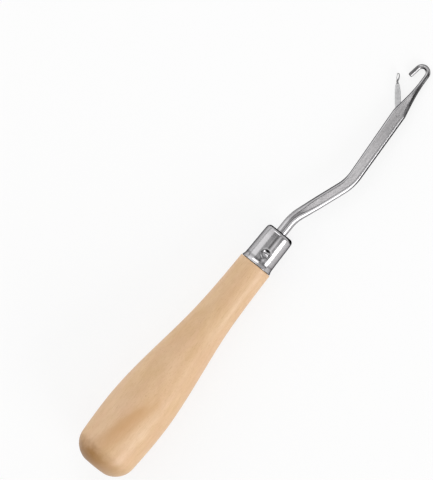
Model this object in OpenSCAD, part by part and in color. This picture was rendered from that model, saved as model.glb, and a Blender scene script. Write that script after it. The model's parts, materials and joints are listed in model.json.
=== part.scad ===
// Latch hook tool for rug making. A turned wooden handle carries a pressed
// ferrule and a cranked steel shank. The shank is pressed flat towards its
// front, slotted there for a latch that swings on a flush rivet, and drawn
// out to a round nose that bends back into the hook.
//
// Every piece is drawn in the tool's own frame: x runs from the butt to the
// hook along the handle's axis, y points to the side where the latch opens,
// and z points up out of the plane of the bends. The finished tool is then
// laid on its side as it rests on a table, on the handle's bulge and the hook.

/* [Handle] */
// Length of the wood that shows, from the butt to the ferrule
handle_l = 81.8; // [75:0.1:110]
// Diameter of the flat on the butt end
butt_flat_d = 7.0; // [4:0.1:10]
// Distance from the butt to the heel, where the rounded end meets the side
heel_x = 6.9; // [5:0.1:9]
// Diameter at the heel
heel_d = 20.2; // [16:0.1:21]
// Growth in radius for each mm of length at the heel
heel_slope = 0.055; // [0:0.005:0.1]
// Distance from the butt to the thickest place
bulge_x = 19.6; // [15:0.1:26]
// Diameter at the thickest place
bulge_d = 21.1; // [21:0.1:26]
// Distance from the butt to the knee, where the taper flattens out
knee_x = 53.5; // [45:0.1:62]
// Diameter at the knee
knee_d = 14.3; // [13:0.1:17]
// Loss of radius for each mm of length at the knee
knee_slope = 0.12; // [0.05:0.005:0.2]
// Diameter of the wood where it meets the ferrule
neck_d = 11.4; // [11.3:0.1:12.6]
// Loss of radius for each mm of length at the ferrule
neck_slope = 0.023; // [0:0.001:0.05]

/* [Ferrule] */
// Length of the ferrule
ferrule_l = 13.1; // [11:0.1:16]
// Outer diameter just in front of the lip
ferrule_d = 10.3; // [9.5:0.1:10.8]
// Outer diameter at the front
ferrule_front_d = 9.8; // [9:0.1:10.5]
// Thickness of the pressed sheet
ferrule_wall = 0.5; // [0.3:0.05:0.7]
// Diameter over the flared lip at the wood
lip_d = 11.2; // [10.8:0.1:11.3]
// Length of the flare
lip_l = 1.9; // [1:0.1:2.4]
// Radius of the rounded front edge
shoulder_r = 1.3; // [0.8:0.1:1.6]
// Distance from the wood to the middle of the punched dimple
dimple_x = 5.0; // [4:0.1:6.5]
// Width of the dimple's mouth
dimple_w = 3.0; // [2:0.1:3.6]
// Depth of the dimple
dimple_depth = 0.6; // [0.3:0.05:0.8]
// Turn of the dimple round the ferrule, away from the latch side
dimple_turn = 10; // [-20:1:20]

/* [Shank] */
// Diameter of the round rod
rod_d = 3.62; // [3.2:0.02:4]
// Distance from the ferrule's front to the corner of the first bend
bend_gap = 6.0; // [5:0.1:12]
// Distance between the corners of the two bends
crank_l = 21.2; // [16:0.1:30]
// Slope of the run between the bends
crank_angle = 20; // [10:1:30]
// Radius of the first bend at the middle of the rod
first_bend_r = 14; // [8:0.5:18]
// Radius of the second bend at the middle of the rod
second_bend_r = 15.5; // [8:0.5:18]
// Distance from the second corner to the latch's pivot
fore_l = 26.2; // [20:0.1:36]
// Slope of the run in front of the second bend
fore_angle = 3.4; // [0:0.1:8]
// Width of the rod where it is first pressed flat
band_w = 3.88; // [3.7:0.02:4.2]
// Width across the cheeks at the pivot
cheek_w = 4.34; // [4:0.02:4.8]
// Thickness across the two flats
cheek_t = 2.6; // [2.2:0.1:3]
// Rounding of the flats' edge on the latch side
upper_edge_r = 0.42; // [0.3:0.02:0.6]
// Rounding of the other edge between the two bends
crank_edge_r = 1.2; // [0.8:0.05:1.25]
// Rounding of the other edge at the cheeks
lower_edge_r = 0.7; // [0.4:0.05:1]
// Length over which the cheeks draw down to the round nose
taper_l = 12.7; // [9:0.1:14]

/* [Hook] */
// Distance from the pivot to the start of the hook's bend
nose_l = 15.5; // [15:0.1:20]
// Dip of the nose below the run behind it
nose_drop = 0.9; // [0:0.1:3]
// Diameter of the round nose and hook
wire_d = 1.48; // [1.2:0.02:1.8]
// Radius of the hook's bend at the middle of the wire
hook_r = 1.93; // [1.8:0.01:2.6]
// Angle by which the hook's arm opens away from the nose
hook_splay = 8.5; // [0:0.5:15]
// Length of the hook's arm past the bend
hook_arm_l = 3.5; // [2.6:0.1:4.2]

/* [Tang] */
// Diameter of the tang inside the handle
tang_d = 3.2; // [2.6:0.1:3.4]
// Length of the tang inside the handle
tang_l = 34; // [20:1:45]
// Width across the two pressed ears that stop the tang from turning
ear_span = 5.2; // [4:0.1:6]
// Thickness of the ears
ear_t = 1.0; // [0.6:0.1:1.4]
// Length of the ears
ear_l = 6; // [4:0.5:9]
// Distance from the tang's end to the ears
ear_back = 5; // [3:0.5:9]

/* [Latch] */
// Angle between the latch and the handle's axis at rest
latch_angle = 39.7; // [35:0.1:60]
// Angle of the latch when its spoon rests on the hook's tip
closed_angle = 27.5; // [27:0.5:32]
// Angle of the latch when it is folded back into the slot
open_angle = 150; // [130:1:155]
// Diameter of the eye round the rivet
eye_d = 2.0; // [1.8:0.05:2.4]
// Distance from the pivot to the end of the flat blade
blade_l = 9.9; // [9:0.1:10.5]
// Width of the blade at its end
blade_end_w = 1.3; // [1:0.05:1.6]
// Thickness of the blade
latch_t = 0.7; // [0.5:0.05:0.9]
// Width of the narrow neck behind the spoon
latch_neck_w = 0.62; // [0.5:0.02:0.8]
// Length of the spoon past the blade
spoon_l = 3.6; // [3:0.1:4]
// Width of the spoon across its cup
spoon_w = 2.1; // [1.8:0.1:2.4]
// Depth of the spoon from its crown to its rim
spoon_h = 0.95; // [0.7:0.05:1.2]
// Thickness of the spoon's sheet
spoon_t = 0.32; // [0.25:0.01:0.45]
// Dip of the spoon's tip below the blade's middle line
spoon_dip = 0.25; // [0:0.05:0.5]

/* [Rivet] */
// Diameter of the rivet
rivet_d = 1.2; // [0.9:0.05:1.4]

/* [Fits] */
// Gap left by the glue between tang, wood and ferrule
glue_gap = 0.05; // [0.02:0.01:0.1]
// Clearance round the rod in the ferrule's front
rod_gap = 0.12; // [0.08:0.01:0.2]
// Radial clearance of the latch's eye on the rivet
pin_gap = 0.05; // [0.02:0.01:0.08]
// Clearance between the latch and each wall of the slot
side_gap = 0.13; // [0.1:0.01:0.2]
// Clearance between the latch and the floor of the slot
floor_gap = 0.25; // [0.15:0.05:0.4]

/* [Hidden] */

// Facets on a full turn of the round pieces
round_fn = 96;
// Steps along a curve of the handle, along a bend and along the hook
curve_steps = 14;
bend_steps = 8;
hook_steps = 18;
// Points round a section of the shank
section_n = 24;
// Length by which joined or cut solids run past each other
lap = 1;

// Straight blend from a to b, and the same with a soft start and end
function blend(a, b, t) = a + (b - a) * t;
function share(x, low, high) = min(1, max(0, (x - low) / (high - low)));
function soft(t) = t * t * (3 - 2 * t);
// Unit vector at an angle, and the one to its left
function along(a) = [cos(a), sin(a)];
function left(a) = [-sin(a), cos(a)];

// Point at t on a cubic curve with four control points
function cubic(p, t) =
    pow(1 - t, 3) * p[0] + 3 * pow(1 - t, 2) * t * p[1]
    + 3 * (1 - t) * t * t * p[2] + pow(t, 3) * p[3];
// Curve from [x, radius] a to b that leaves and arrives at the given slopes
function span(a, slope_a, b, slope_b) =
    let (third = (b[0] - a[0]) / 3)
    [for (i = [1:curve_steps])
        cubic([a, a + third * [1, slope_a], b - third * [1, slope_b], b],
              i / curve_steps)];

// The handle's outline runs from the butt's flat over the heel and the bulge
// to the ferrule
heel = [heel_x, heel_d / 2];
// Shares of the butt's rise and of its length that its curve leaves straight
rise_share = 0.33;
reach_share = 0.67;
butt_rise = rise_share * (heel_d - butt_flat_d) / 2;
butt_reach = reach_share * heel_x;
butt_curve = [for (i = [0:curve_steps])
    cubic([[0, butt_flat_d / 2], [0, butt_flat_d / 2 + butt_rise],
           heel - butt_reach * [1, heel_slope], heel], i / curve_steps)];
neck_round = 0.25;
neck_end = [handle_l - neck_round, neck_d / 2];
handle_curve = concat(
    butt_curve,
    span(heel, heel_slope, [bulge_x, bulge_d / 2], 0),
    span([bulge_x, bulge_d / 2], 0, [knee_x, knee_d / 2], -knee_slope),
    span([knee_x, knee_d / 2], -knee_slope, neck_end, -neck_slope));

// Places along the handle's axis
ferrule_end = handle_l + ferrule_l;
tenon_end = ferrule_end - ferrule_wall - glue_gap;
bend_x = ferrule_end + bend_gap;

// Radii of the ferrule's body, which tapers to the front and flares at the lip
function body_r(x) =
    blend(ferrule_d, ferrule_front_d, share(x, handle_l, ferrule_end)) / 2;
function flare(x) =
    (lip_d - ferrule_d) / 2 * pow(1 - share(x, handle_l, handle_l + lip_l), 2);
function shell_r(x) = body_r(x) + flare(x);
flare_steps = 8;
arc_steps = 8;
shoulder_x = ferrule_end - shoulder_r;
front_face_r = body_r(shoulder_x) - shoulder_r;
inner_round = shoulder_r - ferrule_wall;
lip_x = handle_l + glue_gap;
shell_x = [for (i = [0:flare_steps]) blend(lip_x, handle_l + lip_l, i / flare_steps)];
ferrule_outline = concat(
    [for (x = shell_x) [x, shell_r(x)]],
    [for (i = [0:arc_steps])
        [shoulder_x, front_face_r] + shoulder_r * [sin(90 * i / arc_steps), cos(90 * i / arc_steps)]]);
ferrule_bore = concat(
    [for (x = shell_x) [x, shell_r(x) - ferrule_wall]],
    [for (i = [0:arc_steps])
        [shoulder_x, front_face_r] + inner_round * [sin(90 * i / arc_steps), cos(90 * i / arc_steps)]]);
// The dimple is part of a sphere pressed in from outside
dimple_r = (pow(dimple_w / 2, 2) + pow(dimple_depth, 2)) / (2 * dimple_depth);
dimple_out = body_r(handle_l + dimple_x) - dimple_depth + dimple_r;

// The shank's middle line: the corners of its bends, the pivot and the hook
crank_corner = [bend_x, 0] + crank_l * along(-crank_angle);
pivot = crank_corner + fore_l * along(fore_angle);
nose_angle = fore_angle - nose_drop;
hook_start = pivot + nose_l * along(nose_angle);
hook_centre = hook_start + hook_r * left(nose_angle);
arm_angle = 180 - hook_splay;
arm_start = hook_centre - hook_r * left(arm_angle);
wire_r = wire_d / 2;
// Rounding of the tip's edge
tip_round = 0.6 * wire_r;
tip_steps = 4;

// Stations [x, y, direction] round a bend at a corner
function bend(corner, a0, a1, r) =
    let (turn = sign(a1 - a0), back = r * tan(abs(a1 - a0) / 2))
    let (middle = corner - back * along(a0) + turn * r * left(a0))
    [for (i = [0:bend_steps])
        let (a = blend(a0, a1, i / bend_steps))
        concat(middle - turn * r * left(a), [a])];
first_bend = bend([bend_x, 0], 0, -crank_angle, first_bend_r);
second_bend = bend(crank_corner, -crank_angle, fore_angle, second_bend_r);
first_out = first_bend[bend_steps];
second_out = second_bend[bend_steps];

// A section [w, h, upper, lower] is half a width, half a thickness and the
// roundings of its two edges, which its width and thickness limit
function section(w, h, upper, lower) = [w, h, min(upper, w, h), min(lower, w, h)];

// The rod behind the pivot, at a distance x along the handle's axis: it is
// pressed flat from the first bend to a little past it
press_l = 5;
function rod_section(x) =
    let (press = soft(share(x, first_bend[0][0], first_out[0] + press_l)))
    let (fore = share(x, second_out[0], pivot[0]))
    let (edge = blend(crank_edge_r, lower_edge_r,
                      soft(share(x, second_bend[0][0], second_out[0]))))
    section(blend(rod_d, blend(band_w, cheek_w, fore), press) / 2,
            blend(rod_d, cheek_t, press) / 2,
            blend(rod_d / 2, upper_edge_r, press),
            blend(rod_d / 2, edge, press));

// The same at a distance d in front of the pivot, where the cheeks draw down
// to the round nose. The spans are shares of that taper, from its start, over
// which the flats close in and the two edges become round
taper_gap = 0.8;
flats_span = [0.12, 0.9];
upper_span = [0.4, 0.95];
lower_span = [0, 0.4];
taper_fullness = 0.5;
function nose_section(d) =
    let (u = share(d, taper_gap, taper_gap + taper_l))
    let (narrow = pow(1 - u, 2) * (1 + taper_fullness * u))
    section(blend(wire_d, cheek_w, narrow) / 2,
            blend(cheek_t, wire_d, soft(share(u, flats_span[0], flats_span[1]))) / 2,
            blend(upper_edge_r, wire_r, soft(share(u, upper_span[0], upper_span[1]))),
            blend(lower_edge_r, cheek_t / 2, soft(share(u, lower_span[0], lower_span[1]))));
nose_steps = 14;

// Stations [point, direction, section] from the tang's shoulder to the tip
run_steps = 3;
shank_stations = concat(
    [[[tenon_end + glue_gap, 0], 0, rod_section(0)]],
    [for (s = first_bend) [[s[0], s[1]], s[2], rod_section(s[0])]],
    [for (i = [1:run_steps - 1])
        let (p = blend(first_out, second_bend[0], i / run_steps))
        [[p[0], p[1]], -crank_angle, rod_section(p[0])]],
    [for (s = second_bend) [[s[0], s[1]], s[2], rod_section(s[0])]],
    [for (i = [1:run_steps - 1])
        let (p = blend([second_out[0], second_out[1]], pivot, i / run_steps))
        [p, fore_angle, rod_section(p[0])]],
    [[pivot, (fore_angle + nose_angle) / 2, rod_section(pivot[0])]],
    [for (i = [0:nose_steps])
        let (d = blend(taper_gap, taper_gap + taper_l, i / nose_steps))
        [pivot + d * along(nose_angle), nose_angle, nose_section(d)]],
    [for (i = [0:hook_steps])
        let (a = blend(nose_angle, arm_angle, i / hook_steps))
        [hook_centre - hook_r * left(a), a, section(wire_r, wire_r, wire_r, wire_r)]],
    [for (i = [0:tip_steps])
        let (a = 90 * i / tip_steps)
        let (r = wire_r - tip_round + tip_round * cos(a))
        [arm_start + (hook_arm_l - tip_round + tip_round * sin(a)) * along(arm_angle),
         arm_angle, section(r, r, r, r)]]);

// Ring of points round a station: a rounded rectangle whose sides touch the
// half width and the half thickness exactly
function ring(station) =
    let (a = station[1], s = station[2], half_step = 180 / section_n)
    [for (i = [0:section_n - 1])
        let (q = (2 * i + 1) * half_step)
        let (r = cos(q) > 0 ? s[2] : s[3])
        let (across = sign(cos(q)) * (s[0] - r) + r * cos(q) / cos(half_step))
        let (up = sign(sin(q)) * (s[1] - r) + r * sin(q) / cos(half_step))
        let (p = station[0] + across * left(a))
        [p[0], p[1], up]];

// Half width of the latch's blade at a distance u from its pivot. Its shoulder
// draws down to the neck, which ends inside the spoon
blade_shoulder = 0.55;
spoon_gap = 0.6;
spoon_lap = 0.6;
function blade_half(u) =
    let (plain = blend(eye_d, blade_end_w, share(u, 0, blade_l)) / 2)
    blend(plain, latch_neck_w / 2, soft(share(u, blade_l, blade_l + blade_shoulder)));
spoon_start = blade_l + spoon_gap;
blade_end = spoon_start + spoon_lap;
blade_u = concat(
    [0, blade_l / 2],
    [for (i = [0:arc_steps]) blade_l + blade_shoulder * i / arc_steps],
    [blade_end]);

// Stations of the spoon along the latch, as shares t from its neck to its tip
spoon_steps = 12;
spoon_half_n = 8;
latch_l = blade_l + spoon_l;
// Shares of its length where the cup is full wide, starts to close, is full
// deep and is down to its sheet, and where the rim starts to rise
widen_share = 0.45;
close_share = 0.55;
deepen_share = 0.5;
thin_share = 0.35;
lift_share = 0.8;
// Fall of the neck's sides, swell of the crown, and what the end loses of the
// cup's width squared and of its depth
neck_fall = 0.06;
crown_swell = 0.12;
end_close = 0.9;
end_lift = 0.25;
// Share of the outer width that the inside of the cup has
inner_share = 0.96;
function spoon_u(t) = blend(spoon_start, latch_l, t);
// The cup widens fast, runs on and closes in a rounded end
function spoon_half(t) =
    blend(latch_neck_w, spoon_w, soft(share(t, 0, widen_share))) / 2
    * sqrt(1 - end_close * pow(share(t, close_share, 1), 2));
function spoon_crown(t) =
    latch_neck_w / 2 + crown_swell * sin(180 * t) - spoon_dip * soft(t);
function spoon_drop(t) =
    blend(neck_fall, spoon_h - spoon_t, soft(share(t, 0, deepen_share)))
    * (1 - end_lift * share(t, lift_share, 1));
function spoon_sheet(t) = blend(latch_neck_w, spoon_t, soft(share(t, 0, thin_share)));
// Ring of points [u, v, z] round the cup: over the crown, then back below it
function spoon_ring(t) =
    let (w = spoon_half(t), top = spoon_crown(t), fall = spoon_drop(t))
    concat(
        [for (i = [0:spoon_half_n])
            let (k = 2 * i / spoon_half_n - 1)
            [spoon_u(t), top - fall * k * k, w * k]],
        [for (i = [0:spoon_half_n])
            let (k = 1 - 2 * i / spoon_half_n)
            [spoon_u(t), top - spoon_sheet(t) - fall * k * k, w * k * inner_share]]);

// Faces over a stack of rings that all have n points. Each end is closed by
// strips between facing points of its ring
function skin(rings, n) = concat(
    [for (i = [0:n / 2 - 2])
        each [[i, i + 1, n - 2 - i], [i, n - 2 - i, n - 1 - i]]],
    [for (j = [0:rings - 2], i = [0:n - 1])
        let (k = (i + 1) % n)
        each [[j * n + i, (j + 1) * n + i, (j + 1) * n + k],
              [j * n + i, (j + 1) * n + k, j * n + k]]],
    [for (i = [0:n / 2 - 2])
        let (m = (rings - 1) * n)
        each [[m + i, m + n - 2 - i, m + i + 1], [m + i, m + n - 1 - i, m + n - 2 - i]]]);

// The tool rests on the handle and on the hook's far end: the lay tilt is the
// steepest line from the hook's underside to the handle's outline
rest_x = hook_centre[0] + hook_r;
lay_tilt = max([for (p = handle_curve)
    atan2(p[1], rest_x - p[0]) - asin(wire_r / norm([rest_x - p[0], p[1]]))]);
rest_h = rest_x * sin(lay_tilt) + wire_r;
laid_low = min([for (p = handle_curve) p[0] * cos(lay_tilt) - p[1] * sin(lay_tilt)]);
laid_high = rest_x * cos(lay_tilt) + wire_r;

// Lays a piece of the upright tool on the table, centred over its length
module laid() {
    translate([-(laid_low + laid_high) / 2, 0, rest_h])
        rotate([0, lay_tilt, 0])
            children();
}

// Turns an outline of [x, radius] points about the handle's axis
module turned(outline) {
    rotate([0, 90, 0])
        rotate_extrude($fn = round_fn)
            polygon([for (p = outline) [p[1], p[0]]]);
}

// A ball centred where the dimple's punch would be
module punch(r) {
    rotate([dimple_turn, 0, 0])
        translate([handle_l + dimple_x, 0, dimple_out])
            sphere(r = r, $fn = round_fn);
}

module handle() {
    tenon_chamfer = inner_round + glue_gap;
    tenon_root_r = body_r(handle_l) - ferrule_wall - glue_gap;
    tenon_tip_r = body_r(shoulder_x) - ferrule_wall - glue_gap;
    outline = concat(
        [[0, 0]],
        handle_curve,
        [[handle_l, neck_d / 2 - neck_round],
         [handle_l, tenon_root_r],
         [tenon_end - tenon_chamfer, tenon_tip_r],
         [tenon_end, tenon_tip_r - tenon_chamfer],
         [tenon_end, 0]]);
    bore_r = tang_d / 2 + glue_gap;
    bore_end = tenon_end - tang_l - glue_gap;
    ear_end = tenon_end - tang_l + ear_back - glue_gap;
    color("burlywood")
    laid()
    difference() {
        turned(outline);
        translate([bore_end, 0, 0])
            rotate([0, 90, 0])
                cylinder(r = bore_r, h = tang_l + glue_gap + lap, $fn = round_fn);
        translate([ear_end, -ear_span / 2 - glue_gap, -ear_t / 2 - glue_gap])
            cube([tenon_end - ear_end + lap, ear_span + 2 * glue_gap, ear_t + 2 * glue_gap]);
        punch(dimple_r + ferrule_wall + glue_gap);
    }
}

module ferrule() {
    hole_r = rod_d / 2 + rod_gap;
    color("silver")
    laid()
    difference() {
        union() {
            difference() {
                turned(concat([[lip_x, 0]], ferrule_outline, [[ferrule_end, 0]]));
                turned(concat([[lip_x, 0]], ferrule_bore, [[ferrule_end - ferrule_wall, 0]]));
            }
            intersection() {
                turned(concat([[lip_x, 0]], ferrule_outline, [[ferrule_end, 0]]));
                punch(dimple_r + ferrule_wall);
            }
        }
        punch(dimple_r);
        translate([ferrule_end - ferrule_wall - lap, 0, 0])
            rotate([0, 90, 0])
                cylinder(r = hole_r, h = ferrule_wall + 2 * lap, $fn = round_fn);
    }
}

// The slot fans out from the pivot between the latch's two end positions, and
// reaches out of the latch side whichever of the two lies flatter
module slot() {
    reach = cheek_w / min(sin(closed_angle), sin(open_angle));
    half = eye_d / 2 + floor_gap;
    front = half * -left(closed_angle);
    rear = half * left(open_angle);
    front_end = front + reach * along(closed_angle);
    rear_end = rear + reach * along(open_angle);
    translate([pivot[0], pivot[1], 0])
        linear_extrude(height = latch_t + 2 * side_gap, center = true)
            union() {
                circle(r = half, $fn = round_fn);
                polygon([[0, 0], front, front_end, [front_end[0], reach],
                         [rear_end[0], reach], rear_end, rear]);
            }
}

module shank() {
    shoulder = tenon_end + glue_gap;
    tang_start = tenon_end - tang_l;
    points = [for (s = shank_stations) each ring(s)];
    color("lightgray")
    laid()
    difference() {
        union() {
            polyhedron(points, skin(len(shank_stations), section_n));
            translate([tang_start, 0, 0])
                rotate([0, 90, 0])
                    cylinder(d = tang_d, h = shoulder - tang_start + lap, $fn = round_fn);
            translate([tang_start + ear_back, -ear_span / 2, -ear_t / 2])
                cube([ear_l, ear_span, ear_t]);
        }
        slot();
        translate([pivot[0], pivot[1], -cheek_t / 2 - lap])
            cylinder(d = rivet_d, h = cheek_t + 2 * lap, $fn = round_fn);
    }
}

module latch() {
    eye_hole_r = rivet_d / 2 + pin_gap;
    points = [for (i = [0:spoon_steps]) each spoon_ring(i / spoon_steps)];
    ring_n = 2 * spoon_half_n + 2;
    color("gainsboro")
    laid()
    translate([pivot[0], pivot[1], 0])
        rotate([0, 0, latch_angle])
            difference() {
                union() {
                    linear_extrude(height = latch_t, center = true)
                        union() {
                            circle(d = eye_d, $fn = round_fn);
                            polygon(concat(
                                [for (u = blade_u) [u, -blade_half(u)]],
                                [for (i = [len(blade_u) - 1:-1:0])
                                    [blade_u[i], blade_half(blade_u[i])]]));
                        }
                    polyhedron(points, skin(spoon_steps + 1, ring_n));
                }
                translate([0, 0, -latch_t])
                    cylinder(r = eye_hole_r, h = 2 * latch_t, $fn = round_fn);
            }
}

module latch_rivet() {
    color("darkgray")
    laid()
    translate([pivot[0], pivot[1], -cheek_t / 2])
        cylinder(d = rivet_d, h = cheek_t, $fn = round_fn);
}

handle();
ferrule();
shank();
latch();
latch_rivet();
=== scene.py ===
"""Dresses the latch hook tool: a turned wooden handle, its nickel ferrule, the
cranked steel shank with the hook, the swinging latch and the latch's rivet.

The sizes in the classes are millimetres in the tool's own frame, where x runs
along the handle from the butt to the hook, y points to the latch side and z up
out of the plane of the bends. ToolFrame lays them in the row frame, in metres.
"""

import json
import logging
import math
from dataclasses import dataclass
from enum import Enum

import bpy
import numpy as np
from mathutils import Matrix

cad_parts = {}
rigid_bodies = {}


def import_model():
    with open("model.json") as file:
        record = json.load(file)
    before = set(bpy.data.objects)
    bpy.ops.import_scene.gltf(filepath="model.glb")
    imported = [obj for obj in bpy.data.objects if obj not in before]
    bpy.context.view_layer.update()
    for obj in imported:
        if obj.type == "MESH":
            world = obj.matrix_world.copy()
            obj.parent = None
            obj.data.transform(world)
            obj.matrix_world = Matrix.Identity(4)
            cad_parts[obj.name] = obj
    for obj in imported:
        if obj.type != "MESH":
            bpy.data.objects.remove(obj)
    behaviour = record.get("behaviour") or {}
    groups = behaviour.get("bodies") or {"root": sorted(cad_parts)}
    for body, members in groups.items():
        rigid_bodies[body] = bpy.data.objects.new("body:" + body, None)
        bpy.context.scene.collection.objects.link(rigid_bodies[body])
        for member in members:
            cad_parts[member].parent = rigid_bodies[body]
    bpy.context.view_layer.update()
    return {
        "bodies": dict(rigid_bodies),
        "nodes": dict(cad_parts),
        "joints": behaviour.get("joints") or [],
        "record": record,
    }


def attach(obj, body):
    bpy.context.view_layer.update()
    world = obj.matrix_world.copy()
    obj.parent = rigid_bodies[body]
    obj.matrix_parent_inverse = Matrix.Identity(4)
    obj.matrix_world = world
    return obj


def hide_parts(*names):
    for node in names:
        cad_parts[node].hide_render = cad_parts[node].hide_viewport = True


Socket = bpy.types.NodeSocket
Piece = bpy.types.Object
Material = bpy.types.Material
LOG = logging.getLogger("latch_hook")
MM = 0.001
GLUE_GAP = 0.05
DIMPLE_SETBACK = 4.95
SHARP_ANGLE = 42.0
WAVE_LENGTHS = (14.0, 45.0)


class Axis(Enum):
    """The axis that a profile is turned about."""

    LENGTH = 0
    HEIGHT = 2


class Cut(Enum):
    """How a second solid changes a piece."""

    AWAY = "DIFFERENCE"
    JOIN = "UNION"


def share(x: np.ndarray, low: float, high: float) -> np.ndarray:
    """How far x has come from low to high, from 0 to 1."""
    return np.clip((np.asarray(x, float) - low) / (high - low), 0.0, 1.0)


def soft(t: np.ndarray) -> np.ndarray:
    """A step from 0 to 1 that starts and ends gently: 3 t squared less 2 t cubed."""
    return t * t * (3 - 2 * t)


def blend(a: np.ndarray, b: np.ndarray, t: np.ndarray) -> np.ndarray:
    """The straight blend from a to b."""
    return a + (b - a) * t


def cubic(p: np.ndarray, steps: int) -> np.ndarray:
    """Points along a cubic curve.

    Each is the sum of the four control points, weighted by the terms of
    (1 - t) plus t, cubed.

    Args:
        p: its four control points, one a row.
        steps: how many steps the curve is walked in.

    Returns:
        steps + 1 points, one a row.
    """
    t = np.linspace(0.0, 1.0, steps + 1)[:, None]
    return (1 - t) ** 3 * p[0] + 3 * (1 - t) ** 2 * t * p[1] + 3 * (1 - t) * t**2 * p[2] + t**3 * p[3]


def span(a: tuple, slope_a: float, b: tuple, slope_b: float, steps: int) -> np.ndarray:
    """A curve between two points of an outline that leaves and arrives at given slopes.

    It is a cubic whose inner control points lie a third of the way in from
    each end, along the slope there.

    Args:
        a: start as (x, radius).
        slope_a: growth of the radius for each unit of x at the start.
        b: end as (x, radius).
        slope_b: the same at the end.
        steps: how many steps the curve is walked in.

    Returns:
        The points after the start, one a row.
    """
    start, end = np.array(a, float), np.array(b, float)
    third = (end[0] - start[0]) / 3
    after, before = start + third * np.array([1, slope_a]), end - third * np.array([1, slope_b])
    return cubic(np.array([start, after, before, end]), steps)[1:]


def line(a: tuple, b: tuple, steps: int) -> np.ndarray:
    """The points after a on the straight line to b, one a row."""
    t = np.linspace(0.0, 1.0, steps + 1)[1:, None]
    return blend(np.array(a, float), np.array(b, float), t)


def arc(centre: tuple, radius: float, start: float, end: float, steps: int) -> np.ndarray:
    """Points on an arc, from the angle start to the angle end in degrees, one a row."""
    a = np.radians(np.linspace(start, end, steps + 1))
    return np.array(centre, float) + radius * np.column_stack([np.cos(a), np.sin(a)])


def ripple(x: np.ndarray, turn: np.ndarray, seed: int, waves: int = 6) -> np.ndarray:
    """A slow unevenness of a turned surface, from -1 to 1.

    It is a sum of waves that run along x and close on themselves round the
    piece, each with a wavelength and a phase drawn from the seed.

    Args:
        x: place along the piece, in millimetres.
        turn: angle round it, in radians.
        seed: what the draw starts from.
        waves: how many waves are added.

    Returns:
        One height for each point.
    """
    draw = np.random.default_rng(seed)
    length = draw.uniform(*WAVE_LENGTHS, waves)
    round_it = draw.integers(0, 4, waves)
    phase = draw.uniform(0.0, 2 * math.pi, waves)
    total = np.zeros(np.broadcast(x, turn).shape)
    for one_length, times, one_phase in zip(length, round_it, phase):
        total = total + np.sin(2 * math.pi * x / one_length + times * turn + one_phase)
    return total / waves


@dataclass(frozen=True)
class ToolFrame:
    """The tool's own frame as it lies in the row frame: the butt's middle and the lay tilt."""

    butt: np.ndarray
    tilt: float
    nodes: dict

    @classmethod
    def found(cls, frame: dict) -> "ToolFrame":
        """Finds the frame from the butt face's mount and the latch joint's axis.

        Args:
            frame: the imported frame.

        Returns:
            The tool's own frame.
        """
        axis = frame["joints"][0]["axis"]
        mount = next(m for m in frame["record"]["mounts"] if m["name"] == "butt_face")
        return cls(np.array(mount["pos_m"], float), math.atan2(axis[0], axis[2]), frame["nodes"])

    @property
    def axes(self) -> np.ndarray:
        """The tool's x, y and z directions in the row frame, one a row."""
        c, s = math.cos(self.tilt), math.sin(self.tilt)
        return np.array([[c, 0.0, -s], [0.0, 1.0, 0.0], [s, 0.0, c]])

    def to_row(self, points: np.ndarray) -> np.ndarray:
        """Points of the tool in millimetres, as points of the row in metres."""
        return self.butt + np.asarray(points, float) @ self.axes * MM

    def extent(self, node: str) -> tuple[np.ndarray, np.ndarray]:
        """The box of a CAD node in the tool's frame.

        Args:
            node: the node's name.

        Returns:
            Its lowest and its highest corner, in millimetres.
        """
        mesh = self.nodes[node].data
        flat = np.zeros(len(mesh.vertices) * 3)
        mesh.vertices.foreach_get("co", flat)
        own = (flat.reshape(-1, 3) - self.butt) @ self.axes.T / MM
        return own.min(0), own.max(0)

    def pattern(self, sheet: "Sheet", turn: float = 0.0, about: tuple = (0.0, 0.0)) -> Socket:
        """Object coordinates turned into the tool's frame, in millimetres.

        Args:
            sheet: the material that they are for.
            turn: a further turn of the pattern about z, in degrees.
            about: the x and y of the point that is turned about.

        Returns:
            The socket that gives the coordinates.
        """
        lay = {
            "Vector": sheet.value("ShaderNodeTexCoord", "Object", {}),
            "Scale": (1 / MM, 1 / MM, 1 / MM),
            "Rotation": (0.0, -self.tilt, 0.0),
            "Location": tuple(-(self.axes @ self.butt) / MM),
        }
        own = sheet.value("ShaderNodeMapping", "Vector", lay)
        if not turn:
            return own
        middle = sheet.stretched(own, (1.0, 1.0, 1.0), (-about[0], -about[1], 0.0))
        rotation = (0.0, 0.0, math.radians(-turn))
        return sheet.value("ShaderNodeMapping", "Vector", {"Vector": middle, "Rotation": rotation})


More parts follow.
